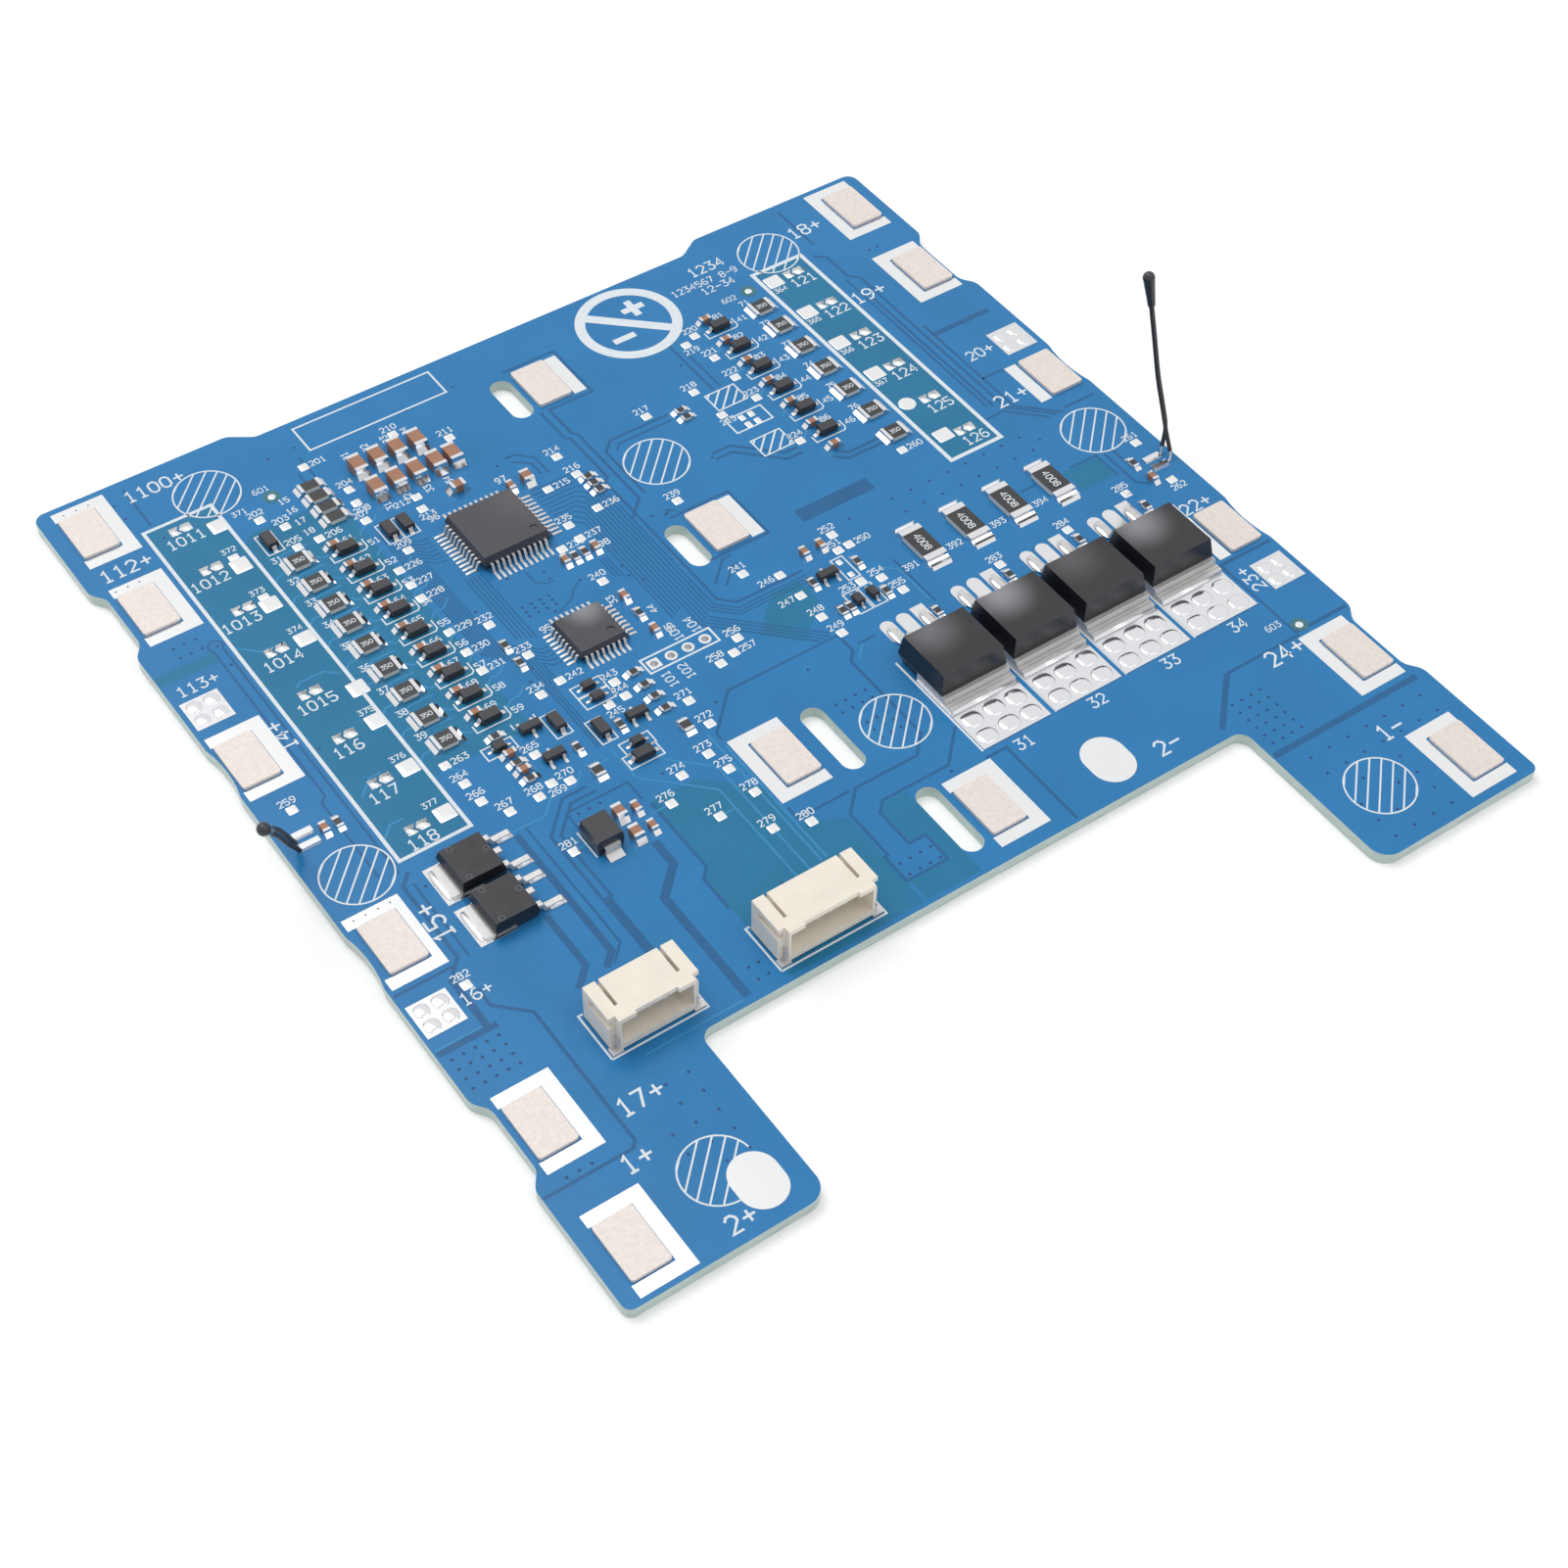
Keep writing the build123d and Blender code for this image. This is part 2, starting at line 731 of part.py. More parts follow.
def chip_ends(size):
    """A chip's two metal ends, each with its pad and solder fillet."""
    length, width, height, wrap, toe = size
    half = length / 2
    top = pad_thickness + height + cap_lip
    end = side_profile(
        [
            (half - wrap, 0),
            (half + toe, 0),
            (half + toe, pad_thickness),
            (half + 0.15 * toe, 0.6 * top),
            (half, top),
            (half - wrap, top),
        ],
        width + 2 * cap_lip,
    )
    return [end, Rot(0, 0, 180) * end]


def two_lead_diode(size):
    """A moulded diode's body and its two gull-wing leads."""
    length, width, height, lead_width, reach, toe = size
    body = moulded_body(length, width, chip_standoff, height, diode_draft)
    exit_height = (chip_standoff + height) / 2
    shoulder = 0.2 * (reach - length / 2)
    lead = gull_lead(length / 2, exit_height, reach, toe, lead_width, lead_thickness, shoulder)
    return body, [lead, Rot(0, 0, 180) * lead]


def small_transistor():
    """A three-lead package with its pair of leads towards -Y."""
    length, width, height = transistor_body
    body = moulded_body(length, width, chip_standoff, height, diode_draft)
    exit_height = (chip_standoff + height) / 2
    lead = gull_lead(
        width / 2,
        exit_height,
        transistor_reach,
        transistor_toe,
        transistor_lead_width,
        lead_thickness,
        0.12,
    )
    half_pitch = transistor_lead_pitch / 2
    leads = [Pos(side * half_pitch, 0, 0) * Rot(0, 0, -90) * lead for side in (-1, 1)]
    leads.append(Rot(0, 0, 90) * lead)
    return body, leads


def place_all(kinds):
    """Put copies of two-piece parts on the board. Each kind gives body, ends and two lists."""
    bodies = []
    ends = []
    for body, pieces, along_x, along_y in kinds:
        for places, angle in ((along_x, 0), (along_y, 90)):
            for x, y in places:
                bodies.append(on_board(body, x, y, angle))
                ends += [on_board(piece, x, y, angle) for piece in pieces]
    return bodies, ends


def chips(*kinds):
    """Two-terminal chips of several sizes."""
    return place_all([(chip_body(size), chip_ends(size), row, column) for size, row, column in kinds])


def diodes(*kinds):
    """Two-lead diodes of several sizes."""
    return place_all([(*two_lead_diode(size), row, column) for size, row, column in kinds])


def column_places(columns):
    """Evenly spaced places down each column."""
    places = []
    for x, first_y, pitch, count in columns:
        places += [(x, first_y - pitch * index) for index in range(count)]
    return places


def socket(place, contacts):
    """A side-entry wire socket that opens towards -Y: housing, contacts and solder tabs."""
    width = socket_pitch * (contacts - 1) + 2 * socket_end_margin
    half = width / 2
    low = socket_standoff
    high = low + socket_height
    housing = block((-half, half), (0, socket_depth), (low, high))
    cavity_half = half - socket_wall
    cavity = block(
        (-cavity_half, cavity_half),
        (-1, socket_depth - socket_back_wall),
        (low + socket_floor, high - socket_roof),
    )
    cuts = [cavity]
    lip_half = cavity_half - socket_end_margin
    lip = (-1, socket_lip_recess)
    cuts.append(block((-lip_half, lip_half), lip, (high - socket_roof - 1, high + 1)))
    groove_low = high - socket_roof - socket_groove_height
    for side in (-1, 1):
        slot_x = side * (half - socket_slot_offset)
        slot = (slot_x - socket_slot_width / 2, slot_x + socket_slot_width / 2)
        cuts.append(
            block(slot, (socket_depth - socket_slot_length, socket_depth + 1), (high - 1.2, high + 1))
        )
        groove = sorted((side * (half - socket_groove_depth), side * (half + 1)))
        cuts.append(
            block(groove, (-1, socket_depth - socket_groove_block), (groove_low, high - socket_roof))
        )
        corner = sorted((side * (half - socket_corner_cut), side * (half + 1)))
        cuts.append(block(corner, (-1, socket_corner_cut), (low - 1, high + 1)))
    pin_low = contact_height - contact_size / 2
    pin_high = contact_height + contact_size / 2
    pin_start = socket_depth - socket_back_wall - contact_reach
    tail = socket_depth + contact_tail_reach
    pin = Rot(0, 0, 90) * side_profile(
        [
            (pin_start, pin_low),
            (tail - contact_size, pin_low),
            (tail - contact_size, 0),
            (tail + contact_foot, 0),
            (tail + contact_foot, contact_size / 2),
            (tail, contact_size / 2),
            (tail, pin_high),
            (pin_start, pin_high),
        ],
        contact_size,
    )
    pins = []
    for index in range(contacts):
        x = socket_pitch * (index - (contacts - 1) / 2)
        pins.append(Pos(x, 0, 0) * pin)
        hole = (x - contact_size / 2, x + contact_size / 2)
        cuts.append(block(hole, (pin_start, socket_depth + 1), (pin_low, pin_high)))
    housing = housing - cuts
    tabs = [solder_tab(half, side) for side in (-1, 1)]
    return (
        on_board(housing, *place),
        [on_board(piece, *place) for piece in pins],
        [on_board(piece, *place) for piece in tabs],
    )


def solder_tab(half, side):
    """A socket's metal tab: a plate up the cut corner and a foot on the board."""
    inner = half - socket_corner_cut
    plate_x = sorted((side * inner, side * (inner + solder_tab_thickness)))
    foot_x = sorted((side * (inner - 0.3), side * (half + solder_tab_overhang)))
    deep = (-solder_tab_overhang, socket_corner_cut)
    plate = block(plate_x, (0.1, socket_corner_cut), (0, solder_tab_height))
    return plate + block(foot_x, deep, (0, socket_standoff))


def smooth_route(points):
    """Straight runs joined by tangent arcs, each as large as its two runs allow."""
    vectors = [Vector(*point) for point in points]
    radii = []
    for before, corner, after in zip(vectors, vectors[1:], vectors[2:]):
        run_in = corner - before
        run_out = after - corner
        half_turn = math.radians(run_in.get_angle(run_out)) / 2
        radii.append(0.45 * min(run_in.length, run_out.length) / math.tan(half_turn))
    if not radii:
        return Polyline(*vectors)
    return FilletPolyline(*vectors, radius=radii)


def round_wire(points, radius):
    """A round wire or sleeve along a route."""
    route = smooth_route(points)
    section = Plane(origin=route @ 0, z_dir=route % 0) * Circle(radius)
    return sweep(section, path=route)


def thermistor_bead():
    """A coated bead standing on the ends of its two sleeves."""
    ball_height = coat_length - bead_radius
    outline = [
        *Polyline((0, 0), (coat_radius, 0), (bead_radius, ball_height)).edges(),
        *CenterArc((0, ball_height), bead_radius, 0, 90).edges(),
        *Line((0, coat_length), (0, 0)).edges(),
    ]
    return revolve(Plane.XZ * make_face(outline), axis=Axis.Z)


def thermistor(route, side, foot, joints):
    """A bead on two sleeved leads, and their bare ends, which run to the solder joints."""
    route = [Vector(*point) + Vector(0, 0, board_thickness) for point in route]
    direction = (route[-1] - route[-2]).normalized()
    side = Vector(*side)
    across = (side - direction * side.dot(direction)).normalized() * (sleeve_spacing / 2)
    bead = Plane(origin=route[-1], z_dir=direction) * thermistor_bead()
    sleeves = []
    wires = []
    outward = math.copysign(1, joints[0][0])
    for way, (x, y) in zip((-1, 1), joints):
        start = route[0] + Vector(*foot) * way
        line = [start] + [point + across * way for point in route[1:]]
        sleeves.append(round_wire(line, sleeve_radius))
        rise = (line[1] - line[0]).normalized()
        exit_point = Vector(x + outward * joint_size[0] / 2, y, board_thickness + joint_height / 2)
        knee = exit_point + Vector(outward * wire_run, 0, 0)
        wires.append(round_wire([exit_point, knee, start - rise * wire_run, start], wire_radius))
    return bead, sleeves, wires


def solder_joint():
    """A low mound of solder on a thermistor pad, upright at its outer end."""
    length, width = joint_size
    lower = Rectangle(length, width)
    upper = Pos(0, 0, joint_height) * Rectangle(length, width - joint_taper)
    return loft([lower, upper], ruled=True)


def save(name, solids):
    """Write one node's solids to its file."""
    pieces = solids if isinstance(solids, list) else [solids]
    children = [piece if isinstance(piece, Solid) else piece.solid() for piece in pieces]
    shape = children[0] if len(children) == 1 else Compound(children)
    export_step(shape, f"parts/{name}.step")


def build_board():
    """The bare board with its tabs, lands and pads."""
    save("circuit_board", circuit_board())
    save("header_hole_plating", header_barrels())
    groups = (
        ("edge_tabs_left", edge_tabs(-1, left_tabs)),
        ("edge_tabs_right", edge_tabs(1, right_tabs)),
        ("inner_tabs", inner_tab_places),
    )
    lands = []
    for name, places in groups:
        save(name, [battery_tab(x, y, way, shift) for x, y, way, framed, shift in places])
        lands += [tab_land(*place) for place in places]
    save("tab_lands", lands)
    save("tap_solder_pads", tap_pads_solids())
    save("power_wire_pads", power_pads_solids())


def build_control_chips():
    """The two square control chips."""
    body, leads = quad_chip(
        controller_body_size,
        controller_height,
        controller_side_count,
        controller_lead_span,
        controller_place,
    )
    save("controller_body", body)
    save("controller_leads", leads)
    body, leads = quad_chip(
        monitor_body_size,
        monitor_height,
        monitor_side_count,
        monitor_lead_span,
        monitor_place,
    )
    save("monitor_body", body)
    save("monitor_leads", leads)


def build_power_parts():
    """The power transistors, power diodes, clamp diode and sensing resistors."""
    tab = mosfet_tab()
    body = mosfet_body(tab)
    leads = []
    pads = []
    for number, x in enumerate(mosfet_places(), start=1):
        save(f"mosfet_{number}_body", on_board(body, x, 0))
        save(f"mosfet_{number}_tab", on_board(tab, x, 0))
        leads += [on_board(piece, x, 0) for piece in mosfet_leads()]
        pads += [on_board(piece, x, 0) for piece in mosfet_pads()]
    save("mosfet_leads", leads)
    save("mosfet_solder_pads", pads)
    body, metal, pads = power_diode()
    x = power_diode_inset - board_width / 2
    save("power_diode_bodies", [on_board(body, x, y) for y in power_diode_rows])
    save("power_diode_metal", [on_board(piece, x, y) for y in power_diode_rows for piece in metal])
    save(
        "power_diode_solder_pads",
        [on_board(piece, x, y) for y in power_diode_rows for piece in pads],
    )
    body, terminals = clamp_diode()
    place = clamp_place()
    save("clamp_diode_body", on_board(body, *place, 90))
    save("clamp_diode_terminals", [on_board(piece, *place, 90) for piece in terminals])
    shunt_places = [
        (shunt_first[0] + shunt_pitch * index, shunt_first[1]) for index in range(shunt_count)
    ]
    bodies, ends = chips((shunt_resistor, (), shunt_places))
    save("shunt_resistor_bodies", bodies)
    save("shunt_resistor_ends", ends)


def build_small_parts():
    """The balancing columns and the small chips, diodes and transistors."""
    resistor_places = [(x, y) for x, column in balance_resistor_columns for y in column]
    bulk_places = [(x, y) for y, row in bulk_rows for x in row]
    gate_places = [
        (x + offset, gate_resistor_y) for x, offset in zip(mosfet_places(), gate_resistor_offsets)
    ]
    small_caps = (*small_capacitors_along_y, *beside_clamp(clamp_small_capacitors))
    middle_caps = (*middle_capacitors_along_y, *beside_clamp(clamp_middle_capacitors))
    groups = (
        ("balance_resistor", chips((balance_resistor, resistor_places, ())), "ends"),
        (
            "balance_capacitor",
            chips((small_capacitor, column_places(balance_capacitor_columns), ())),
            "ends",
        ),
        (
            "balance_diode",
            diodes((long_diode, column_places(balance_diode_columns), ())),
            "leads",
        ),
        ("bulk_capacitor", chips((bulk_capacitor, (), bulk_places)), "ends"),
        (
            "small_capacitor",
            chips(
                (small_capacitor, small_capacitors_along_x, small_caps),
                (middle_capacitor, middle_capacitors_along_x, middle_caps),
            ),
            "ends",
        ),
        (
            "small_resistor",
            chips(
                (small_resistor, small_resistors_along_x, (*small_resistors_along_y, *gate_places)),
                (middle_resistor, (), middle_resistors_along_y),
                (large_resistor, large_resistors_along_x, ()),
            ),
            "ends",
        ),
        (
            "signal_diode",
            diodes(
                (long_diode, long_diodes_along_x, long_diodes_along_y),
                (short_diode, short_diodes_along_x, short_diodes_along_y),
            ),
            "leads",
        ),
    )
    for name, (bodies, metal), word in groups:
        save(f"{name}_bodies", bodies)
        save(f"{name}_{word}", metal)
    body, leads = small_transistor()
    bodies = []
    metal = []
    for x, y, pair_up in transistor_places:
        angle = 180 if pair_up else 0
        bodies.append(on_board(body, x, y, angle))
        metal += [on_board(piece, x, y, angle) for piece in leads]
    save("transistor_bodies", bodies)
    save("transistor_leads", metal)


def build_sockets():
    """The two wire sockets."""
    notch_y = notch_depth - board_length / 2
    for side, (x, setback), contacts in (
        ("left", left_socket_place, left_socket_count),
        ("right", right_socket_place, right_socket_count),
    ):
        housing, pins, tabs = socket((x, notch_y + setback), contacts)
        save(f"{side}_socket_housing", housing)
        save(f"{side}_socket_contacts", pins)
        save(f"{side}_socket_solder_tabs", tabs)


def build_thermistors():
    """The two bead thermistors and their solder joints."""
    joints = []
    for name, route, side, foot, places in (
        ("left", left_sleeve_route, left_sleeve_side, left_sleeve_foot, left_joints),
        ("right", right_sleeve_route, right_sleeve_side, right_sleeve_foot, right_joints),
    ):
        bead, sleeves, wires = thermistor(route, side, foot, places)
        save(f"{name}_thermistor_bead", bead)
        save(f"{name}_thermistor_sleeves", sleeves)
        save(f"{name}_thermistor_wires", wires)
        joints += [on_board(solder_joint(), x, y) for x, y in places]
    save("thermistor_solder_joints", joints)


build_board()
build_control_chips()
build_power_parts()
build_small_parts()
build_sockets()
build_thermistors()
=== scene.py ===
import json
import math

import bmesh
import bpy
from mathutils import Matrix, Vector

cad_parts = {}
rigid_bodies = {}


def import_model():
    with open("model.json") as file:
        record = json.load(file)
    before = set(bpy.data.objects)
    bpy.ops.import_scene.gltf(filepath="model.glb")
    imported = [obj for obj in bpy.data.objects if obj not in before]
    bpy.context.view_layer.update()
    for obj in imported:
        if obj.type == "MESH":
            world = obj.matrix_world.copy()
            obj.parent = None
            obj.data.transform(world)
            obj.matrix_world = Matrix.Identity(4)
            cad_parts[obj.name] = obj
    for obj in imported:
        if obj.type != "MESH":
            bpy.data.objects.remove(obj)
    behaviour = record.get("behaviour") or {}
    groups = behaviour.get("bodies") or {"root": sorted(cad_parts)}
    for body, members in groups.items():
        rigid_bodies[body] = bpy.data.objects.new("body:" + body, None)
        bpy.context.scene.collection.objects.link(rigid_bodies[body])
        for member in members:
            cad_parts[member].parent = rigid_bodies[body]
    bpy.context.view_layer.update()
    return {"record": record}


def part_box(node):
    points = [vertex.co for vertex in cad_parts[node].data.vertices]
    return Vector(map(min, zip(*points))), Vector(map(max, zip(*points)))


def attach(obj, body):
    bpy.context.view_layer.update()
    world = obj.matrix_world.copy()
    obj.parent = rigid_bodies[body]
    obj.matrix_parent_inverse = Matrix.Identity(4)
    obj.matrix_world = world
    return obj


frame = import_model()

# Sizes here are millimetres, in the frame of the CAD model, and become metres
# when a mesh is made.
MM = 0.001
BOARD_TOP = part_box("circuit_board")[1][2] / MM

# Heights above the board of what is printed or plated on it
SUNK = -0.01
BARE_STEP = 0.004
GAP_STEP = 0.006
BUS_STEP = 0.007
TRACK_STEP = 0.017
BALANCE_STEP = 0.018
RING_STEP = 0.028
SILK_STEP = 0.03
PAD_STEP = 0.06
JUMPER_STEP = 0.048
# Heights above a part's top
PART_PRINT_STEP = 0.012
MOULD_MARK_STEP = 0.015
# How far a later line rises above the one that it crosses, and how high a mound's rim is
OVERLAP_STEP = 0.002
EDGE_STEP = 0.012

# Widths of lines, and the sizes of plated holes
BUS_WIDTH = 0.25
TRACK_WIDTH = 0.3
BALANCE_WIDTH = 0.28
FINE_LINE = 0.2
HATCH_WIDTH = 0.22
VIA_RADIUS = 0.24
VIA_HEIGHT = 0.032
LAND_VIA_RADIUS = 0.16
LAND_VIA_HEIGHT = 0.02

# The camera: its place, where it looks, its roll and its lens
CAMERA_PLACE = (-137.4, -195.4, 250.15)
CAMERA_AZIMUTH = -36.37
CAMERA_ELEVATION = 49.17
CAMERA_ROLL = -1.505
CAMERA_LENS = 62.78
CAMERA_SHIFT = (-0.0084, 0.0006)


def linear(red, green, blue):
    """A colour given as it looks on a screen, from 0 to 255, in Blender's linear values."""
    values = []
    for part in (red, green, blue):
        share = part / 255
        values.append(share / 12.92 if share <= 0.04045 else ((share + 0.055) / 1.055) ** 2.4)
    return (*values, 1.0)


# Colours
POUR_BLUE = linear(45, 126, 185)
TEAL_BLUE = linear(38, 121, 163)
GAP_BLUE = linear(41, 102, 152)
BUS_BLUE = linear(40, 105, 155)
TRACK_BLUE = linear(60, 142, 194)
VIA_BLUE = linear(34, 78, 128)
RING_GREEN = linear(70, 124, 134)
LAMINATE = linear(192, 208, 204)
SILK_WHITE = linear(232, 238, 242)
SILK_THIN = linear(180, 205, 225)
NICKEL = linear(232, 222, 216)
LEAD = linear(208, 207, 206)
MOULD_BLACK = linear(46, 46, 51)
POWER_BLACK = linear(34, 34, 39)
CHIP_GREY = linear(60, 60, 67)
# Painted highlight: the pale grey that stands in for a reflection on the black tops
PAINTED_HIGHLIGHT_GREY = linear(178, 178, 184)
MARK_GREY = linear(84, 84, 90)
CERAMIC_WHITE = linear(226, 224, 218)
GLAZE_BLACK = linear(46, 45, 47)
CERAMIC_BROWN = linear(158, 112, 86)
IVORY = linear(243, 235, 221)
BEAD_BLACK = linear(40, 43, 48)
# Painted shade: the darker grey of the steps pressed into the transistors' tabs
TAB_STEP_SHADE = linear(172, 168, 163)
SLEEVE_BLACK = linear(34, 36, 41)


def placed(name, data):
    """A new object in the scene."""
    item = bpy.data.objects.new(name, data)
    bpy.context.scene.collection.objects.link(item)
    return item


class Tree:
    """A node tree, with short calls for making and linking nodes."""

    def __init__(self, tree):
        self.tree = tree

    def fill(self, socket, value):
        """Link a socket to another one, or give it a constant."""
        if isinstance(value, bpy.types.NodeSocket):
            self.tree.links.new(value, socket)
        else:
            socket.default_value = value

    def new(self, kind, inputs=(), **settings):
        """A node with its settings, and its inputs by name or number."""
        node = self.tree.nodes.new("ShaderNode" + kind)
        for name, value in settings.items():
            setattr(node, name, value)
        for name, value in dict(inputs).items():
            self.fill(node.inputs[name], value)
        return node

    def math(self, operation, first, second):
        return self.new("Math", {0: first, 1: second}, operation=operation).outputs[0]


class Nodes(Tree):
    """A material's node tree, with calls for the few looks used here."""

    def __init__(self, name):
        self.material = bpy.data.materials.new(name)
        self.material.use_nodes = True
        super().__init__(self.material.node_tree)
        self.tree.nodes.clear()
        self.shader = self.new("BsdfPrincipled")
        self.new("OutputMaterial", {"Surface": self.shader.outputs["BSDF"]})
        self.place = self.new("TexCoord").outputs["Object"]

    def stretched(self, scale):
        """The surface's place in millimetres, times a factor along each axis."""
        factors = [factor / MM for factor in scale]
        return self.new("Mapping", {"Vector": self.place, "Scale": factors}).outputs["Vector"]

    def noise(self, size, detail=3.0, stretch=(1, 1, 1)):
        """Noise whose blotches are about this many millimetres across."""
        place = self.stretched([part / size for part in stretch])
        return self.new("TexNoise", {"Vector": place, "Scale": 1.0, "Detail": detail}).outputs["Fac"]

    def clouds(self, size, detail=3.0, low=0.0, high=1.0, stretch=(1, 1, 1)):
        """Noise whose middle is spread over a range."""
        noise = self.noise(size, detail, stretch)
        inputs = {"Value": noise, "From Min": 0.3, "From Max": 0.7, "To Min": low, "To Max": high}
        return self.new("MapRange", inputs).outputs["Result"]

    def mix(self, factor, first, second):
        """Mix two colours, each a socket or four numbers: the mix node's sockets 6 and 7."""
        return self.new("Mix", {0: factor, 6: first, 7: second}, data_type="RGBA").outputs[2]

    def varied(self, factor, colour, dark, light):
        """One colour, from a darker to a lighter share of itself."""
        return self.mix(factor, shaded(colour, dark), shaded(colour, light))

    def bump(self, height, depth):
        """Raise and sink the surface by up to this many millimetres."""
        node = self.new("Bump", {"Height": height, "Strength": 1.0, "Distance": depth * MM})
        self.set(Normal=node.outputs["Normal"])

    def set(self, **values):
        """Fill the shader's sockets, named with an underscore for each space."""
        for name, value in values.items():
            self.fill(self.shader.inputs[name.replace("_", " ")], value)

    def facing_up(self):
        """1 on faces that look up or down, and 0 on upright ones."""
        normal = self.new("NewGeometry").outputs["True Normal"]
        split = self.new("SeparateXYZ", {"Vector": normal})
        level = self.math("ABSOLUTE", split.outputs["Z"], 0.0)
        return self.math("GREATER_THAN", level, 0.7)


def shaded(colour, change):
    """The same colour, lighter or darker."""
    return (*[min(1.0, part * change) for part in colour[:3]], 1.0)


def uneven(nodes, size, detail, rough):
    """Roughness that varies a little from place to place."""
    return nodes.clouds(size, detail, rough * 0.85, rough * 1.15)


def mask_look(nodes, colour, blotch, spread, grain, dark):
    """Solder mask: a thin glossy lacquer of uneven depth, with a fine grain."""
    base = nodes.varied(nodes.clouds(blotch, 4.0), colour, 1 - spread, 1 + spread)
    nodes.set(Roughness=nodes.clouds(3.0, 3.0, 0.2, 0.28), Specular_IOR_Level=0.25)
    return nodes.mix(nodes.clouds(0.5, 2.0, high=grain), base, shaded(colour, dark))


def mask_material(name, colour):
    """Mask over bare laminate, a track, a gap or a plated hole."""
    nodes = Nodes(name)
    nodes.set(Base_Color=mask_look(nodes, colour, 9.0, 0.07, 0.5, 0.9))
    nodes.bump(nodes.noise(0.9), 0.01)
    return nodes.material


def board_material():
    """Mask on the two faces, and pale woven laminate on the edges and slot walls."""
    nodes = Nodes("board_mask_and_laminate")
    mask = mask_look(nodes, POUR_BLUE, 11.0, 0.06, 0.4, 0.88)
    weave = nodes.clouds(0.35, 2.0, stretch=(0.15, 0.15, 1.6))
    edge = nodes.varied(weave, LAMINATE, 0.86, 1.08)
    nodes.set(Base_Color=nodes.mix(nodes.facing_up(), edge, mask))
    nodes.bump(nodes.noise(0.8), 0.012)
    return nodes.material


def silk_material(name):
    """Screen-printed white ink, slightly uneven where the mask shows through."""
    nodes = Nodes(name)
    ink = nodes.mix(nodes.clouds(0.45, high=0.3), SILK_WHITE, SILK_THIN)
    nodes.set(Base_Color=ink, Roughness=0.7)
    nodes.bump(nodes.noise(0.25), 0.01)
    return nodes.material


def metal_material(name, colour, metallic, rough, blotch, ripple, depth=0.06):
    """Plated or soldered metal with uneven brightness and a fine ripple."""
    nodes = Nodes(name)
    base = nodes.varied(nodes.clouds(blotch), colour, 1 - depth, 1 + depth / 2)
    nodes.set(Base_Color=base, Metallic=metallic, Roughness=uneven(nodes, blotch * 0.5, 2.0, rough))
    nodes.bump(nodes.noise(blotch * 0.35), ripple)
    return nodes.material


def moulded_material(name, colour, rough, speckle):
    """Moulded resin: fine grain and a little dust of filler."""
    nodes = Nodes(name)
    base = nodes.varied(nodes.clouds(speckle, 4.0), colour, 0.84, 1.16)
    dusty = nodes.mix(nodes.clouds(3.5, 2.0, high=0.35), base, shaded(colour, 1.25))
    nodes.set(Base_Color=dusty, Roughness=uneven(nodes, speckle * 2, 3.0, rough))
    nodes.bump(nodes.noise(speckle, 2.0), 0.012)
    return nodes.material


def bloomed_material(name, colour, rough, speckle, painted_highlights):
    """Moulded resin whose top has a painted highlight: a soft pale patch round each place that stands in
    for a reflection.
    """
    nodes = Nodes(name)
    base = nodes.varied(nodes.clouds(speckle, 4.0), colour, 0.88, 1.12)
    place = nodes.stretched((1, 1, 1))
    flat = nodes.new("VectorMath", {0: place, 1: (1, 1, 0)}, operation="MULTIPLY").outputs[0]
    # The painted highlight: pale grey fading out from each place, on faces that look up or down only
    painted_highlight = 0.0
    for x, y, reach, share in painted_highlights:
        away = nodes.new("VectorMath", {0: flat, 1: (x, y, 0)}, operation="DISTANCE").outputs["Value"]
        inputs = {"Value": away, "From Max": reach, "To Min": share, "To Max": 0.0}
        fade = nodes.new("MapRange", inputs, interpolation_type="SMOOTHSTEP")
        painted_highlight = nodes.math("MAXIMUM", fade.outputs["Result"], painted_highlight)
    painted_highlight = nodes.math("MULTIPLY", painted_highlight, nodes.facing_up())
    nodes.set(Base_Color=nodes.mix(painted_highlight, base, PAINTED_HIGHLIGHT_GREY))
    nodes.set(Roughness=uneven(nodes, speckle * 6, 3.0, rough))
    nodes.bump(nodes.noise(speckle, 2.0), 0.004)
    return nodes.material


def glazed_material():
    """A thick-film resistor: black glaze on top of a white ceramic."""
    nodes = Nodes("glazed_resistor")
    grain = nodes.clouds(0.2)
    white = nodes.varied(grain, CERAMIC_WHITE, 0.93, 1.0)
    black = nodes.varied(grain, GLAZE_BLACK, 0.85, 1.2)
    nodes.set(Base_Color=nodes.mix(nodes.facing_up(), white, black), Roughness=0.32)
    nodes.bump(nodes.noise(0.5), 0.01)
    return nodes.material


def ivory_material():
    """Pale nylon that lets a little light in."""
    nodes = Nodes("ivory_nylon")
    nodes.set(Base_Color=nodes.varied(nodes.clouds(2.5), IVORY, 0.96, 1.03), Roughness=0.42)
    nodes.set(Subsurface_Weight=0.12, Subsurface_Scale=0.4 * MM)
    nodes.bump(nodes.noise(0.4, 2.0), 0.008)
    return nodes.material


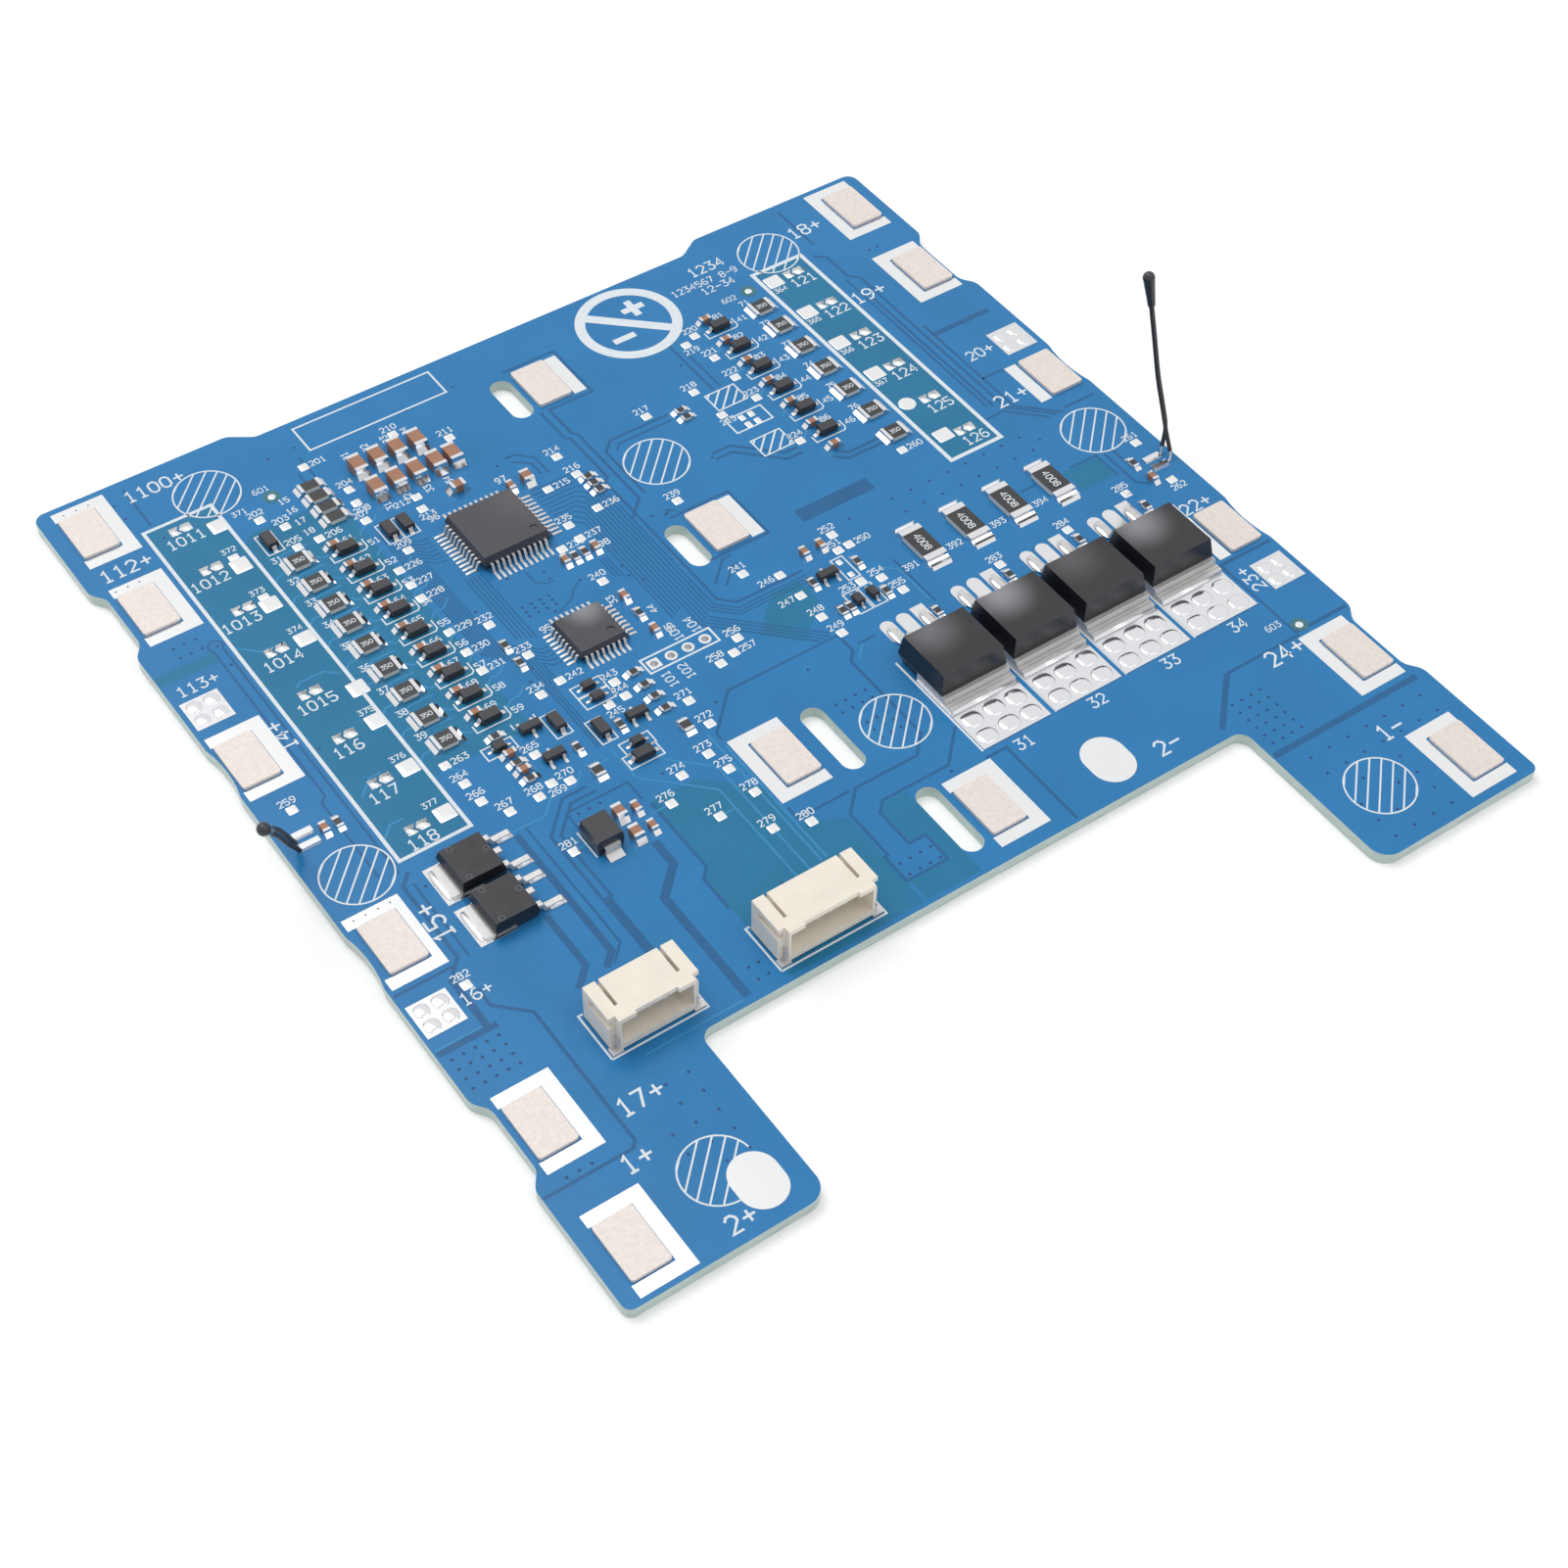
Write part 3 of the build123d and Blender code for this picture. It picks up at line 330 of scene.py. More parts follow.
class Solids:
    """Closed solids gathered into one mesh.

    They stand on its low level, just under the board's face unless it is set to
    another, and flat ones reach up to its high level.
    """

    def __init__(self, height=0.0):
        self.mesh = bmesh.new()
        self.low = BOARD_TOP + SUNK
        self.high = BOARD_TOP + height

    def layers(self, rings, closed=False):
        """Join rings of points, each a list of (x, y, z), in a row with two ends or in a loop."""
        rows = [[self.mesh.verts.new(Vector(point) * MM) for point in ring] for ring in rings]
        if not closed:
            self.mesh.faces.new(rows[0][::-1])
            self.mesh.faces.new(rows[-1])
        for lower, upper in zip(rows, rows[1:] + (rows[:1] if closed else [])):
            for index in range(len(lower)):
                after = (index + 1) % len(lower)
                self.mesh.faces.new((lower[index], lower[after], upper[after], upper[index]))

    def plate(self, outline):
        """A flat plate with this outline."""
        self.layers([[(x, y, z) for x, y in outline] for z in (self.low, self.high)])

    def ribbon(self, points, width, closed=False, lift=0.0):
        """A flat line of one width along points, with mitred corners."""
        low, high = self.low, self.high + lift
        rings = []
        for left, right in offset_sides(points, width, closed):
            rings.append([(*left, low), (*left, high), (*right, high), (*right, low)])
        self.layers(rings, closed)

    def lines(self, entries):
        """Flat lines, each a width and points, stepped so that crossings share no plane."""
        for index, (width, points) in enumerate(entries):
            self.ribbon(points, width, lift=OVERLAP_STEP * (index % 5))

    def ring(self, centre, radius, width, steps):
        """A flat round ring."""
        self.ribbon(arc(centre, radius, 0, 360, steps)[:-1], width, closed=True)

    def prism(self, profile, x_low, x_high):
        """A bar along X with this outline, given as (y, z)."""
        self.layers([[(x, y, z) for y, z in profile] for x in (x_low, x_high)])

    def stack(self, place, radii, levels, power, sides):
        """Rings, each at a share of the radii and at a height."""
        rings = []
        for share, height in levels:
            outline = super_ellipse(place, (radii[0] * share, radii[1] * share), power, sides)
            rings.append([(x, y, height) for x, y in outline])
        self.layers(rings)

    def mound(self, place, radii, height, steps=7):
        """A low soft mound whose edge meets its base at a shallow angle."""
        levels = [(1.0, self.low)]
        for step in range(1, steps + 1):
            share = 1 - step / (steps + 0.3)
            levels.append((share, self.low + EDGE_STEP + height * (1 - share**2.4)))
        self.stack(place, radii, levels, 2.6, 28)

    def dome(self, place, radii, height, power=2.0, steps=3, sides=24):
        """A rounded mound on a round base, or on a rounded square for a power above 2."""
        levels = []
        for step in range(steps + 1):
            angle = step / (steps + 1) * math.pi / 2
            levels.append((math.cos(angle), self.low + height * math.sin(angle)))
        self.stack(place, radii, levels, power, sides)

    def piece(self, name, slot, material=None, smooth=False):
        """Finish the mesh as a piece of the board, with its slot's own material or another."""
        bmesh.ops.recalc_face_normals(self.mesh, faces=self.mesh.faces)
        data = bpy.data.meshes.new(name)
        self.mesh.to_mesh(data)
        self.mesh.free()
        data.polygons.foreach_set("use_smooth", [smooth] * len(data.polygons))
        data.materials.append(material or bpy.data.materials[slot])
        piece = placed(name, data)
        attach(piece, "root")


def offset_sides(points, width, closed):
    """The left and right edge of a line of one width, at each of its points."""
    flat = [Vector(point) for point in points]
    runs = [(after - point).normalized() for point, after in zip(flat, flat[1:] + flat[:1])]
    sides = []
    for index, point in enumerate(flat):
        run_in = runs[index - 1] if closed or index else runs[0]
        run_out = runs[index] if closed or index < len(flat) - 1 else run_in
        across = Vector((-run_in.y, run_in.x))
        normal = Vector((-run_in.y - run_out.y, run_in.x + run_out.x))
        if normal.length < 0.2:
            normal = across.copy()
        normal.normalize()
        step = normal * (width / 2 / max(0.5, normal.dot(across)))
        sides.append((point + step, point - step))
    return sides


def super_ellipse(place, radii, power, sides):
    """Points round an ellipse whose power makes it squarer above 2."""
    points = []
    for index in range(sides):
        angle = 2 * math.pi * index / sides + math.pi / sides
        c, s = math.cos(angle), math.sin(angle)
        x = radii[0] * math.copysign(abs(c) ** (2 / power), c)
        y = radii[1] * math.copysign(abs(s) ** (2 / power), s)
        points.append((place[0] + x, place[1] + y))
    return points


def rectangle(x_low, y_low, x_high, y_high):
    """A rectangle's corners, anticlockwise."""
    return [(x_low, y_low), (x_high, y_low), (x_high, y_high), (x_low, y_high)]


def arc(centre, radius, start, end, steps):
    """Points along part of a circle, with angles in degrees."""
    angles = [math.radians(start + (end - start) * step / steps) for step in range(steps + 1)]
    return [(centre[0] + radius * math.cos(a), centre[1] + radius * math.sin(a)) for a in angles]


# Strokes of plain numerals and signs, as the x and y of their points, on a cell 0.6
# wide and 1 high, and how far apart the numerals of a line stand
STROKES = {
    " ": (), "0": ((0, 0.2, 0, 0.8, 0.18, 1, 0.42, 1, 0.6, 0.8, 0.6, 0.2, 0.42, 0, 0.18, 0, 0, 0.2),),
    "1": ((0.1, 0.78, 0.32, 1, 0.32, 0), (0.1, 0, 0.54, 0)),
    "2": ((0, 0.8, 0.18, 1, 0.42, 1, 0.6, 0.8, 0.6, 0.6, 0, 0, 0.6, 0),),
    "3": ((0, 1, 0.6, 1, 0.28, 0.6, 0.42, 0.6, 0.6, 0.42, 0.6, 0.18, 0.42, 0, 0.18, 0, 0, 0.18),),
    "4": ((0.46, 0, 0.46, 1, 0, 0.32, 0.62, 0.32),),
    "5": ((0.6, 1, 0, 1, 0, 0.58, 0.4, 0.58, 0.6, 0.4, 0.6, 0.18, 0.42, 0, 0.18, 0, 0, 0.15),),
    "6": ((0.55, 1, 0.25, 1, 0, 0.65, 0, 0.18, 0.18, 0, 0.42, 0, 0.6, 0.18, 0.6, 0.38, 0.42, 0.55, 0,
        0.5),),
    "7": ((0, 1, 0.6, 1, 0.2, 0),),
    "8": ((0.16, 0.54, 0, 0.7, 0, 0.85, 0.16, 1, 0.44, 1, 0.6, 0.85, 0.6, 0.7, 0.44, 0.54), (0.44, 0.54,
        0.16, 0.54, 0, 0.38, 0, 0.16, 0.16, 0, 0.44, 0, 0.6, 0.16, 0.6, 0.38, 0.44, 0.54)),
    "9": ((0.05, 0, 0.35, 0, 0.6, 0.35, 0.6, 0.82, 0.42, 1, 0.18, 1, 0, 0.82, 0, 0.62, 0.18, 0.45, 0.6,
        0.5),),
    "+": ((0, 0.5, 0.7, 0.5), (0.35, 0.15, 0.35, 0.85)), "-": ((0, 0.5, 0.7, 0.5),),
}
NUMERAL_PITCH = 0.86
# Size of the small numerals, and the weight of their strokes
SMALL_HEIGHT = 0.95
SMALL_WEIGHT = 0.17


def paired(numbers):
    """Points from a run of x and y."""
    return list(zip(numbers[::2], numbers[1::2]))


def write(solids, text, place, height=SMALL_HEIGHT, turn=0, weight=SMALL_WEIGHT):
    """Write plain numerals with their lower left corner at a place."""
    cosine, sine = math.cos(math.radians(turn)), math.sin(math.radians(turn))
    cursor = 0.0
    for sign in str(text):
        for level, stroke in enumerate(STROKES[sign]):
            points = []
            for x, y in paired(stroke):
                along, up = (cursor + x) * height, y * height
                x, y = along * cosine - up * sine, along * sine + up * cosine
                points.append((place[0] + x, place[1] + y))
            solids.ribbon(points, weight * height, lift=OVERLAP_STEP * level)
        cursor += NUMERAL_PITCH


# Areas with no copper under the mask: two corners, or the x and y of each point
BARE_AREAS = (
    (-55.2, -5.8, -45.6, 60.4), (40.3, 12.9, 48.5, 59.7),
    (-26, -14.8, -19.5, -14.8, -13.6, -20.5, -13.6, -27.2, -7.9, -30.2, -8.2, -45.4, -27.2, -45.4, -27.2,
        -28.4, -26, -27),
    (-4.1, -31.4, -3, -30.5, 0.2, -30.5, 0.2, -45.4, -7.7, -45.4, -7.7, -42, -1.8, -42, -1.8, -37.2, -4.1,
        -37.2),
    (0.5, 0.6, 5.8, 5.8, 10.2, 5.8, 10.2, 1, 4.6, -3.6), (51, -1.8, 56.6, 2.4),
    (-45.2, 51.5, -43.9, 52.7, -31.4, 52.7, -31.4, 3.4, -45.2, 3.4), (-65.7, 34.7, -57.6, 36.5),
)

# Gaps between copper areas: a line's width, then the x and y of its points
COPPER_GAPS = (
    (0.35, -53.7, 69.6, -53.7, 61.4), (0.35, -33.2, 59.4, -33.2, 57), (0.35, -31.6, 59.4, -31.6, 57.2),
    (0.4, -0.3, 51.8, -0.3, 45.6, 0.35, 45, 0.35, 36, -0.4, 35.2, -0.4, 8.9, 1.5, 7, 11.6, 7),
    (0.4, -0.3, 61.7, 7.9, 61.7, 7.9, 51.6, 1, 51.6, 1, 45.9, 1.6, 45.3, 1.6, 30.2, -1.2, 27.4),
    (0.35, -9.3, 46.6, -7.6, 46.6, -5.6, 44.6, -5.6, 41), (0.35, -8.6, 45.6, -6.6, 43.8, -6.6, 41.4),
    (0.4, 2.8, 30.6, 2.8, 40.2, 4.5, 41.8, 13.8, 41.8), (0.3, 4.2, 39.6, 5.2, 40.6, 13.6, 40.6),
    (0.35, 21.8, 54, 21.8, 42.6), (0.35, 23, 51.4, 23, 42.6),
    (0.4, 2.9, 24.7, 12, 24.7, 12, 15.2, 2.9, 15.2), (0.4, 2.6, 25.4, 3.4, 26.2, 4.2, 25.5),
    (0.45, 14.4, 31.9, 17.3, 31.9, 22.6, 26.6, 24.6, 26.6),
    (0.45, 14.2, 30.7, 16.8, 30.7, 22.2, 25.4, 24.6, 25.4), (0.35, 0.9, 11.2, 4.2, 14.5, 5.6, 14.5),
    (0.35, 2, 10.2, 4.6, 12.8, 5.4, 12.8), (0.5, 28.4, 23.2, 29.7, 21.9, 34.8, 21.9),
    (0.5, 27.6, 22.4, 29.1, 20.9, 34.8, 20.9),
    (0.4, 50, 58.6, 51.5, 57.2, 51.5, 52.2, 52.8, 50.8, 52.8, 17.2, 57.8, 12.2),
    (0.4, 53.9, 37.4, 53.9, 16.9, 58.9, 11.9), (0.4, 49, 16.7, 52.1, 16.7, 56.6, 12.2),
    (0.4, 51.6, 69.8, 51.6, 60.6), (0.4, 51.6, 46, 51.6, 18.4), (0.8, 53.9, 34.9, 63.6, 34.9),
    (0.4, 53.9, 23.6, 57.4, 23.6), (0.4, 59.4, 12.6, 64.6, 12.6), (0.35, 58, 2.3, 58, -4.4, 59.2, -5.6),
    (0.35, 59.4, 2.2, 59.4, -0.4), (0.35, 46.6, 2.7, 44, 2.7), (0.35, 52.4, 2.7, 56.9, 2.7, 56.9, -2),
    (0.9, -45.4, -22.4, -45.4, -30.9, -47.9, -33.4), (0.9, -41.9, -10.2, -41.9, -30.9, -43.6, -32.6),
    (0.3, -40.4, -9.6, -40.4, -30.4, -42.6, -32.6), (1.2, -38.3, -24, -38.3, -33.4),
    (0.4, -31, -8.4, -34.4, -8.4, -38.7, -12.7, -38.7, -24.4),
    (0.4, -30.4, -9.6, -34, -9.6, -37.6, -13.2, -37.6, -24.4),
    (1.1, -29, -20.2, -29, -24.2, -32.7, -27.9, -32.7, -44.9),
    (0.4, -26.1, -15, -26.1, -26.8, -27.4, -28.2, -27.4, -33.4),
    (0.3, -35.3, -14, -35.3, -10.6, -26.6, -10.6, -26.6, -13.8), (0.9, -59, -24, -59, -32),
    (0.5, -58.6, -23.6, -56.8, -21.8, -56.8, -9.4, -55.2, -7.8),
    (0.4, -57.6, -23.2, -58.2, -22.6, -65.6, -22.6), (0.3, -55.6, -22.4, -55.6, -9.6),
    (0.8, -65.6, -32.3, -57.9, -32.3),
    (0.45, -57.2, -26.9, -57.2, -29.7, -53.7, -33.2, -53.7, -54, -54.4, -54.7, -65.7, -54.7),
    (0.35, -13.4, -11.4, -13.4, -10.2, -11.9, -8.7, -8.2, -5, 8.7, -5),
    (0.4, 8.6, -5, 8.6, -8.2, 7.3, -9.6, 7.3, -24.2, 4.7, -26.8, -4.5, -26.8, -7.5, -29.8, -7.5, -37.4, -8,
        -37.4, -8, -41.8, -2, -41.8, -2, -37.4, -4.4, -37.4, -4.4, -31.6, -3, -30.2, 6.9, -30.2, 11.5,
        -25.6),
    (0.35, 9.8, -7.6, 12.6, -7.6), (0.4, 11.4, -31.9, 14.5, -31.9, 14.5, -45.6),
    (0.35, -13, -24.8, -13, -26.8, -5.4, -26.8), (0.35, 22.5, 2, 22.5, -7),
    (0.35, 56.9, -22.6, 56.9, -37.4), (0.5, 56.9, -22.8, 65.4, -22.8), (0.5, 56.9, -37.3, 65.4, -37.3),
    (0.45, 44.9, -37.8, 56.9, -37.8), (0.8, 44.9, -37.8, 38.2, -44.6), (0.9, 40.6, -51.5, 64.2, -51.5),
    (0.3, -57.5, 36.6, -57.5, 8, -58.4, 7.1, -58.4, -6.6), (0.3, -56.2, 36.6, -56.2, -7.4),
    (0.3, *sum(arc((-56.85, 37.3), 0.95, -50, 230, 14), ())), (0.35, 50.8, 51.4, 50.8, 18.6),
    (0.35, -31.6, 62.2, -31.6, 61), (2.4, 17, 15.4, 28.6, 15.4),
)

# Tracks that show paler than the mask round them, as the x and y of their points
PALE_TRACKS = (
    (-55, 35.6, -52.6, 33.2, -50.8, 33.2), (-52, 25.2, -51.2, 25.9, -47.8, 25.9, -46.2, 24.3),
    (-54, 5.2, -51.8, 7.4, -50.2, 7.4), (-55, -2, -53.4, -0.4, -51.6, -0.4),
    (-25.4, -5.2, -25.4, -10.6, -18.2, -17.8, -18.2, -34), (-21, -10, -16.3, -14.7, -16.3, -34),
    (-14.4, -9.6, -14.4, -33.6), (-13.6, -12.4, -13.6, -33.6), (-26.4, -6.2, -28.9, -6.2),
    (-65.6, -31.7, -59.6, -31.7), (-20, -21.3, -18.4, -21.3), (-27, -16.4, -24.8, -16.4),
    (-37, -16.1, -35.9, -16.1), (-41, -6.6, -39.8, -6.6), (-42, -9.6, -37.6, -9.6, -35.4, -7.4),
    (-46.6, -45.2, -33.4, -45.2), (-33.2, -7.6, -32, -7.6, -30.2, -5.8), (8.4, -9.8, 10.3, -7.9),
    (20.4, 1.6, 22, 0.2, 22, -6.4), (-43.4, 3.4, -41.9, 2, -41.9, 0.9),
)

# Rows of plated holes: first x and y, steps along X and Y, and counts
VIA_FIELDS = (
    (-64.6, -33.7, 1.5, -1.53, 5, 4), (41.9, -42.2, 1.55, -1.52, 4, 6), (-47, -49.8, 3, -2.98, 2, 5),
    (-50, -55.7, 3, -2.98, 1, 3), (44.1, -54.2, 3.05, -2.98, 7, 2), (44.1, -60.2, 3.05, -2.98, 4, 4),
    (-7.1, -39.2, 1.5, -1.95, 4, 2), (1.4, -14.5, 1.5, -1.5, 4, 2), (2.9, -19, 1.5, -1.5, 3, 3),
    (-62.3, -53.8, 1.6, -1, 3, 1), (29.2, 11.3, 3.05, -3, 8, 2), (-21.7, 21.5, 1.3, -0.9, 4, 3),
    (-30.4, -41.7, 1.4, -2, 2, 2), (-34.1, -11.5, 1.5, -1, 3, 1), (-61.4, 39.8, 1.5, -1.9, 3, 2),
)
# Other plated holes, then those in the tinned lands: the x and y of each
LONE_VIAS = (
    -56.7, 37.2, -56.7, 33.4, -61, 67.6, -56.1, 67.4, -55.9, 64.4, -35.2, 64.2, -31.3, 64.3, -53.4, 58.4,
    -10.7, 46, -8.7, 46.6, -15.2, 62.4, -7.5, 63, 1.1, 26.4, 3, 25.6, -20.6, 27, -16.1, 25.4, -16.1, 24,
    -18.6, 18.6, -13, 21.6, -7.2, 20.8, -7.4, 18.8, -6.2, 17.2, 2, -7.7, 14, 31.3, 20.9, 49.2, 22, 25.6,
    57.6, 55.2, 59, 55.2, -65, -11, -54.6, -10.8, -22.4, -11.8, -20.2, -33.8, -10.6, -5.8, 6.6, -31.2,
    22.2, 11.4, 51.7, 19.2, 52.6, 9.4, -27.6, 10, -26.2, 11.8, -27, 24.2, -45.8, 39.2, -54.5, 14.9,
)
LAND_VIAS = (
    -62.3, 69.4, -60.5, 69.4, -58.8, 69.4, -62.9, 52.9, -61.2, 52.9, -59.6, 52.9, -64, -10.6, -62.4, -10.6,
    -60.8, -10.6, -59.2, -10.6,
)


def build_copper():
    """What shows of the copper through the mask: areas, gaps and tracks."""
    bare = Solids(BARE_STEP)
    for numbers in BARE_AREAS:
        bare.plate(rectangle(*numbers) if len(numbers) == 4 else paired(numbers))
    bare.piece("bare_areas", "board", mask_material("mask_over_laminate", TEAL_BLUE))
    gaps = Solids(GAP_STEP)
    gaps.lines((width, paired(numbers)) for width, *numbers in COPPER_GAPS)
    gaps.piece("copper_gaps", "board", mask_material("mask_over_gap", GAP_BLUE))
    buses = Solids(BUS_STEP)
    buses.lines((BUS_WIDTH, points) for points in signal_buses())
    buses.piece("signal_buses", "board", mask_material("mask_over_bus", BUS_BLUE))
    tracks = Solids(TRACK_STEP)
    tracks.lines((TRACK_WIDTH, paired(numbers)) for numbers in PALE_TRACKS)
    tracks.high = BOARD_TOP + BALANCE_STEP
    tracks.lines((BALANCE_WIDTH, points) for points in balance_tracks())
    tracks.piece("copper_tracks", "board", mask_material("mask_over_track", TRACK_BLUE))


def build_vias():
    """Plated holes, closed by the mask."""
    dots = Solids()
    places = paired(LONE_VIAS)
    for x, y, step_x, step_y, across, down in VIA_FIELDS:
        places += [(x + step_x * i, y + step_y * j) for i in range(across) for j in range(down)]
    for place in places:
        dots.dome(place, (VIA_RADIUS, VIA_RADIUS), VIA_HEIGHT, steps=2, sides=12)
    dots.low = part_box("tab_lands")[1][2] / MM + SUNK
    for place in paired(LAND_VIAS):
        dots.dome(place, (LAND_VIA_RADIUS, LAND_VIA_RADIUS), LAND_VIA_HEIGHT, steps=1, sides=10)
    dots.piece("via_holes", "board", mask_material("mask_in_via", VIA_BLUE), smooth=True)


def signal_buses():
    """Bundles of gaps between the tracks that leave the two control chips."""
    lines = []
    for index in range(11):
        x = -6.9 + 0.56 * index
        y = 31.2 + 0.8 * index
        run = [(-9.6, y), (x - 1.0, y), (x, y - 1.0)]
        if index < 4:
            run.append((x, 9.2 + 0.3 * index))
        elif index < 8:
            bend = 5.26 + 0.232 * index
            reach = min(8.0, x + bend + 4.6)
            run += [(x, bend), (reach, x + bend - reach)]
        else:
            bend = 6.1 + 0.232 * index
            level = 0.55 * index + 0.6
            run += [(x, bend), (x + bend - level, level), (11.6, level)]
        lines.append(run)
    for index in range(7):
        x = -30.2 + 0.42 * index
        y = 39.2 - 0.8 * index
        lines.append([(-25.2, y), (-26.4, y), (x, y - 26.4 - x), (x, 17.0 - 0.5 * index)])
    for index in range(5):
        x = -25.1 + 0.55 * index
        lines.append([(x, 29.8), (x, 17.2 - 0.3 * index)])
    for index in range(5):
        x = -26.5 + 0.45 * index
        y = 14.0 - 0.8 * index
        lines.append([(-22.6, y), (-23.6, y), (x, y - 23.6 - x), (x, -4.0 if index < 3 else 8.9)])
    for index in range(3):
        x = -8.9 + 0.5 * index
        lines.append([(x, 23.4), (x, 19.6 - 0.3 * index)])
    lines.append([(-18.0, 26.7), (-18.0, 24.6), (-16.9, 23.5), (-15.7, 23.4)])
    lines.append([(-18.4, 18.1), (-15.7, 19.3), (-14.5, 20.7), (-12.9, 21.7)])
    return lines


def balance_tracks():
    """Tracks that join the parts of each balancing cell."""
    lines = []
    for index in range(9):
        y = 44.2 - 4.6 * index
        lines.append([(-43.6, y - 0.4), (-44.6, y - 0.4), (-45.5, y - 1.4)])
        lines.append([(-38.9, y + 0.2), (-38.1, y - 0.6), (-37.4, y - 0.6)])
        lines.append([(-32.2, y + 0.4), (-31.3, y + 1.3), (-29.9, y + 1.3), (-28.6, y + 2.6)])
        lines.append([(-43.2, y + 2.2), (-41.9, y + 2.9), (-38.6, y + 2.9)])
    for index in range(6):
        y = 52.6 - 5.2 * index
        lines.append([(32.4, y), (33.6, y), (34.7, y - 0.6)])
        lines.append([(26.4, y + 0.8), (27.4, y + 1.8), (28.0, y + 1.8)])
    return lines


# White print: frames as a width and two corners, and open lines as a width and the
# x and y of their points
FRAMES = (
    (0.5, -55.25, -5.85, -45.55, 60.55), (0.6, 40.2, 12.8, 48.6, 59.8), (0.28, -29.7, 62.6, -8.7, 67.6),
    (0.28, -14.5, 2.7, -4.2, 5.3), (0.25, 19.5, 33.3, 25.3, 36.4), (0.2, -43.75, 47.8, -41.45, 51.8),
    (0.2, -29.85, 40.9, -27.65, 44.9), (0.2, -27.5, 40.9, -25.3, 44.9), (0.2, -29.85, 0, -27.6, 4.2),
    (0.2, -25.8, -3.9, -23.6, 0.3), (0.2, -25.1, -9.25, -20.3, -7.1), (0.2, -24.3, 4.2, -20.1, 6.1),
    (0.2, -24.3, 2, -20.1, 4), (0.2, -24.3, -7, -20.1, -5), (0.2, -38.6, 1.6, -34.4, 3.6),
    (0.2, 13.2, -3.6, 15.2, 0.4), (0.2, 15.5, -3.6, 17.5, 0.4), (0.2, 15.5, 2.1, 17.3, 6.3),
)
OPEN_LINES = (
    (0.3, 11.75, -13, 11.75, -30.8), (0.3, 23.25, -20.6, 23.25, -30.8), (0.3, 34.45, -20.8, 34.45, -30.8),
    (0.3, 45.7, -20.8, 45.7, -30.8), (0.3, 59.15, -10.5, 59.15, -18.6),
    (0.22, -35.85, -13.9, -35.85, -18.4), (0.2, -33.4, 5.2, -33.4, 4.2), (0.2, -30.2, 5.2, -30.2, 4.2),
    (0.25, -50, -43.7, -37.2, -43.7, -37.2, -40.6), (0.25, -50, -43.7, -50, -36.6, -49.4, -36.6),
    (0.25, -27.6, -44.3, -12.8, -44.3, -12.8, -41.2), (0.25, -27.6, -44.3, -27.6, -37, -27, -37),
)
# Places hatched with slanting lines: circles, one cut short by an oval pad, and boxes
HATCHED_CIRCLES = (
    (-45, 62.7), (45, 62.7), (7.4, 34.8), (-60.3, -4.8), (5.9, -20.85), (59.8, 6.8), (48, -62.3),
)
CUT_CIRCLE = (-48.5, -62.2)
CUT_ARC = (8, 272)
OVAL_PAD = (-45.65, -65.7)
OVAL_CLEARANCE = (3.4, 4.3)
HATCH_RADIUS = 4.45
HATCH_PITCH = 2.05
BOX_HATCH_PITCH = 1.7
BOX_HATCH_WIDTH = 0.25
BOX_HATCH_REACH = 3.2
HATCHED_BOXES = ((20, 38.5, 24.7, 42), (20, 27.5, 24.7, 31))

# Columns of brackets under the balancing diodes: count, first x and y, and the step down
DIODE_BRACKETS = ((9, -34.9, 43.1, 4.45), (6, 29.85, 52.9, 5.18))

# The polarity mark
MARK_CENTRE = (19.85, 60.88)
MARK_RADIUS = 6.85
MARK_WIDTH = 1.5
MARK_BAR_ANGLE = 137.5
MARK_OFFSET = 3.3
MARK_ARM = 1.75
MARK_STROKE = 1.05

# Plain numerals: text, x, y, height, and the turn if there is one
LARGE_WEIGHT = 0.14
LARGE_NUMERALS = (
    ("1100+", -54.2, 66.8, 2), ("112+", -63.3, 55, 2.1), ("113+", -64.4, 31.8, 1.65),
    ("14+", -56.2, 16.8, 2.1, 90), ("15+", -55.2, -18.8, 2.4, 90), ("16+", -59.6, -28.2, 1.6),
    ("17+", -53, -50.9, 2.3), ("1+", -56.6, -57.3, 2.3), ("2+", -51.6, -69.8, 2.2), ("18+", 50, 63.3, 2.15),
    ("19+", 49.1, 46.2, 2.15), ("20+", 54.9, 27.4, 1.75), ("21+", 52.3, 17.4, 2.1),
    ("22+", 59.4, -13.2, 1.9), ("23+", 59.4, -29, 1.8, 90), ("24+", 50.6, -40.3, 2.3),
    ("1-", 53.6, -57.4, 2.3), ("2-", 29.4, -43.8, 2.2), ("31", 15.6, -33.3, 1.6), ("32", 27.4, -33, 1.6),
    ("33", 39.2, -33, 1.6), ("34", 50.4, -33, 1.6), ("1234", 32.9, 64.2, 1.75),
    ("1234567 8-9", 28.3, 61.9, 1.18), ("12-34", 32.2, 60, 1.3), ("602", 33.3, 56.8, 0.95),
    ("601", -40, 58.9, 0.95), ("603", 54, -35.4, 0.95),
)

# The rows of jumpers, and the numbers under them
SWITCH_HEIGHT = 1.6
SWITCH_DROP = 2.9
LEFT_SWITCH_X = -50.9
RIGHT_SWITCH_X = 45.5
RIGHT_LABEL_X = 43.9
LEFT_SWITCH_ROWS = (58.6, 49.9, 41.2, 32.4, 23.7, 15.0, 6.3, -2.5)
LEFT_SWITCH_LABELS = (
    (1011, -53.7), (1012, -54.7), (1013, -54.8), (1014, -53.6), (1015, -53.6), (116, -53.4), (117, -53.4),
    (118, -53.2),
)
RIGHT_SWITCH_ROWS = (57.1, 48.9, 40.8, 32.9, 24.7, 16.8)

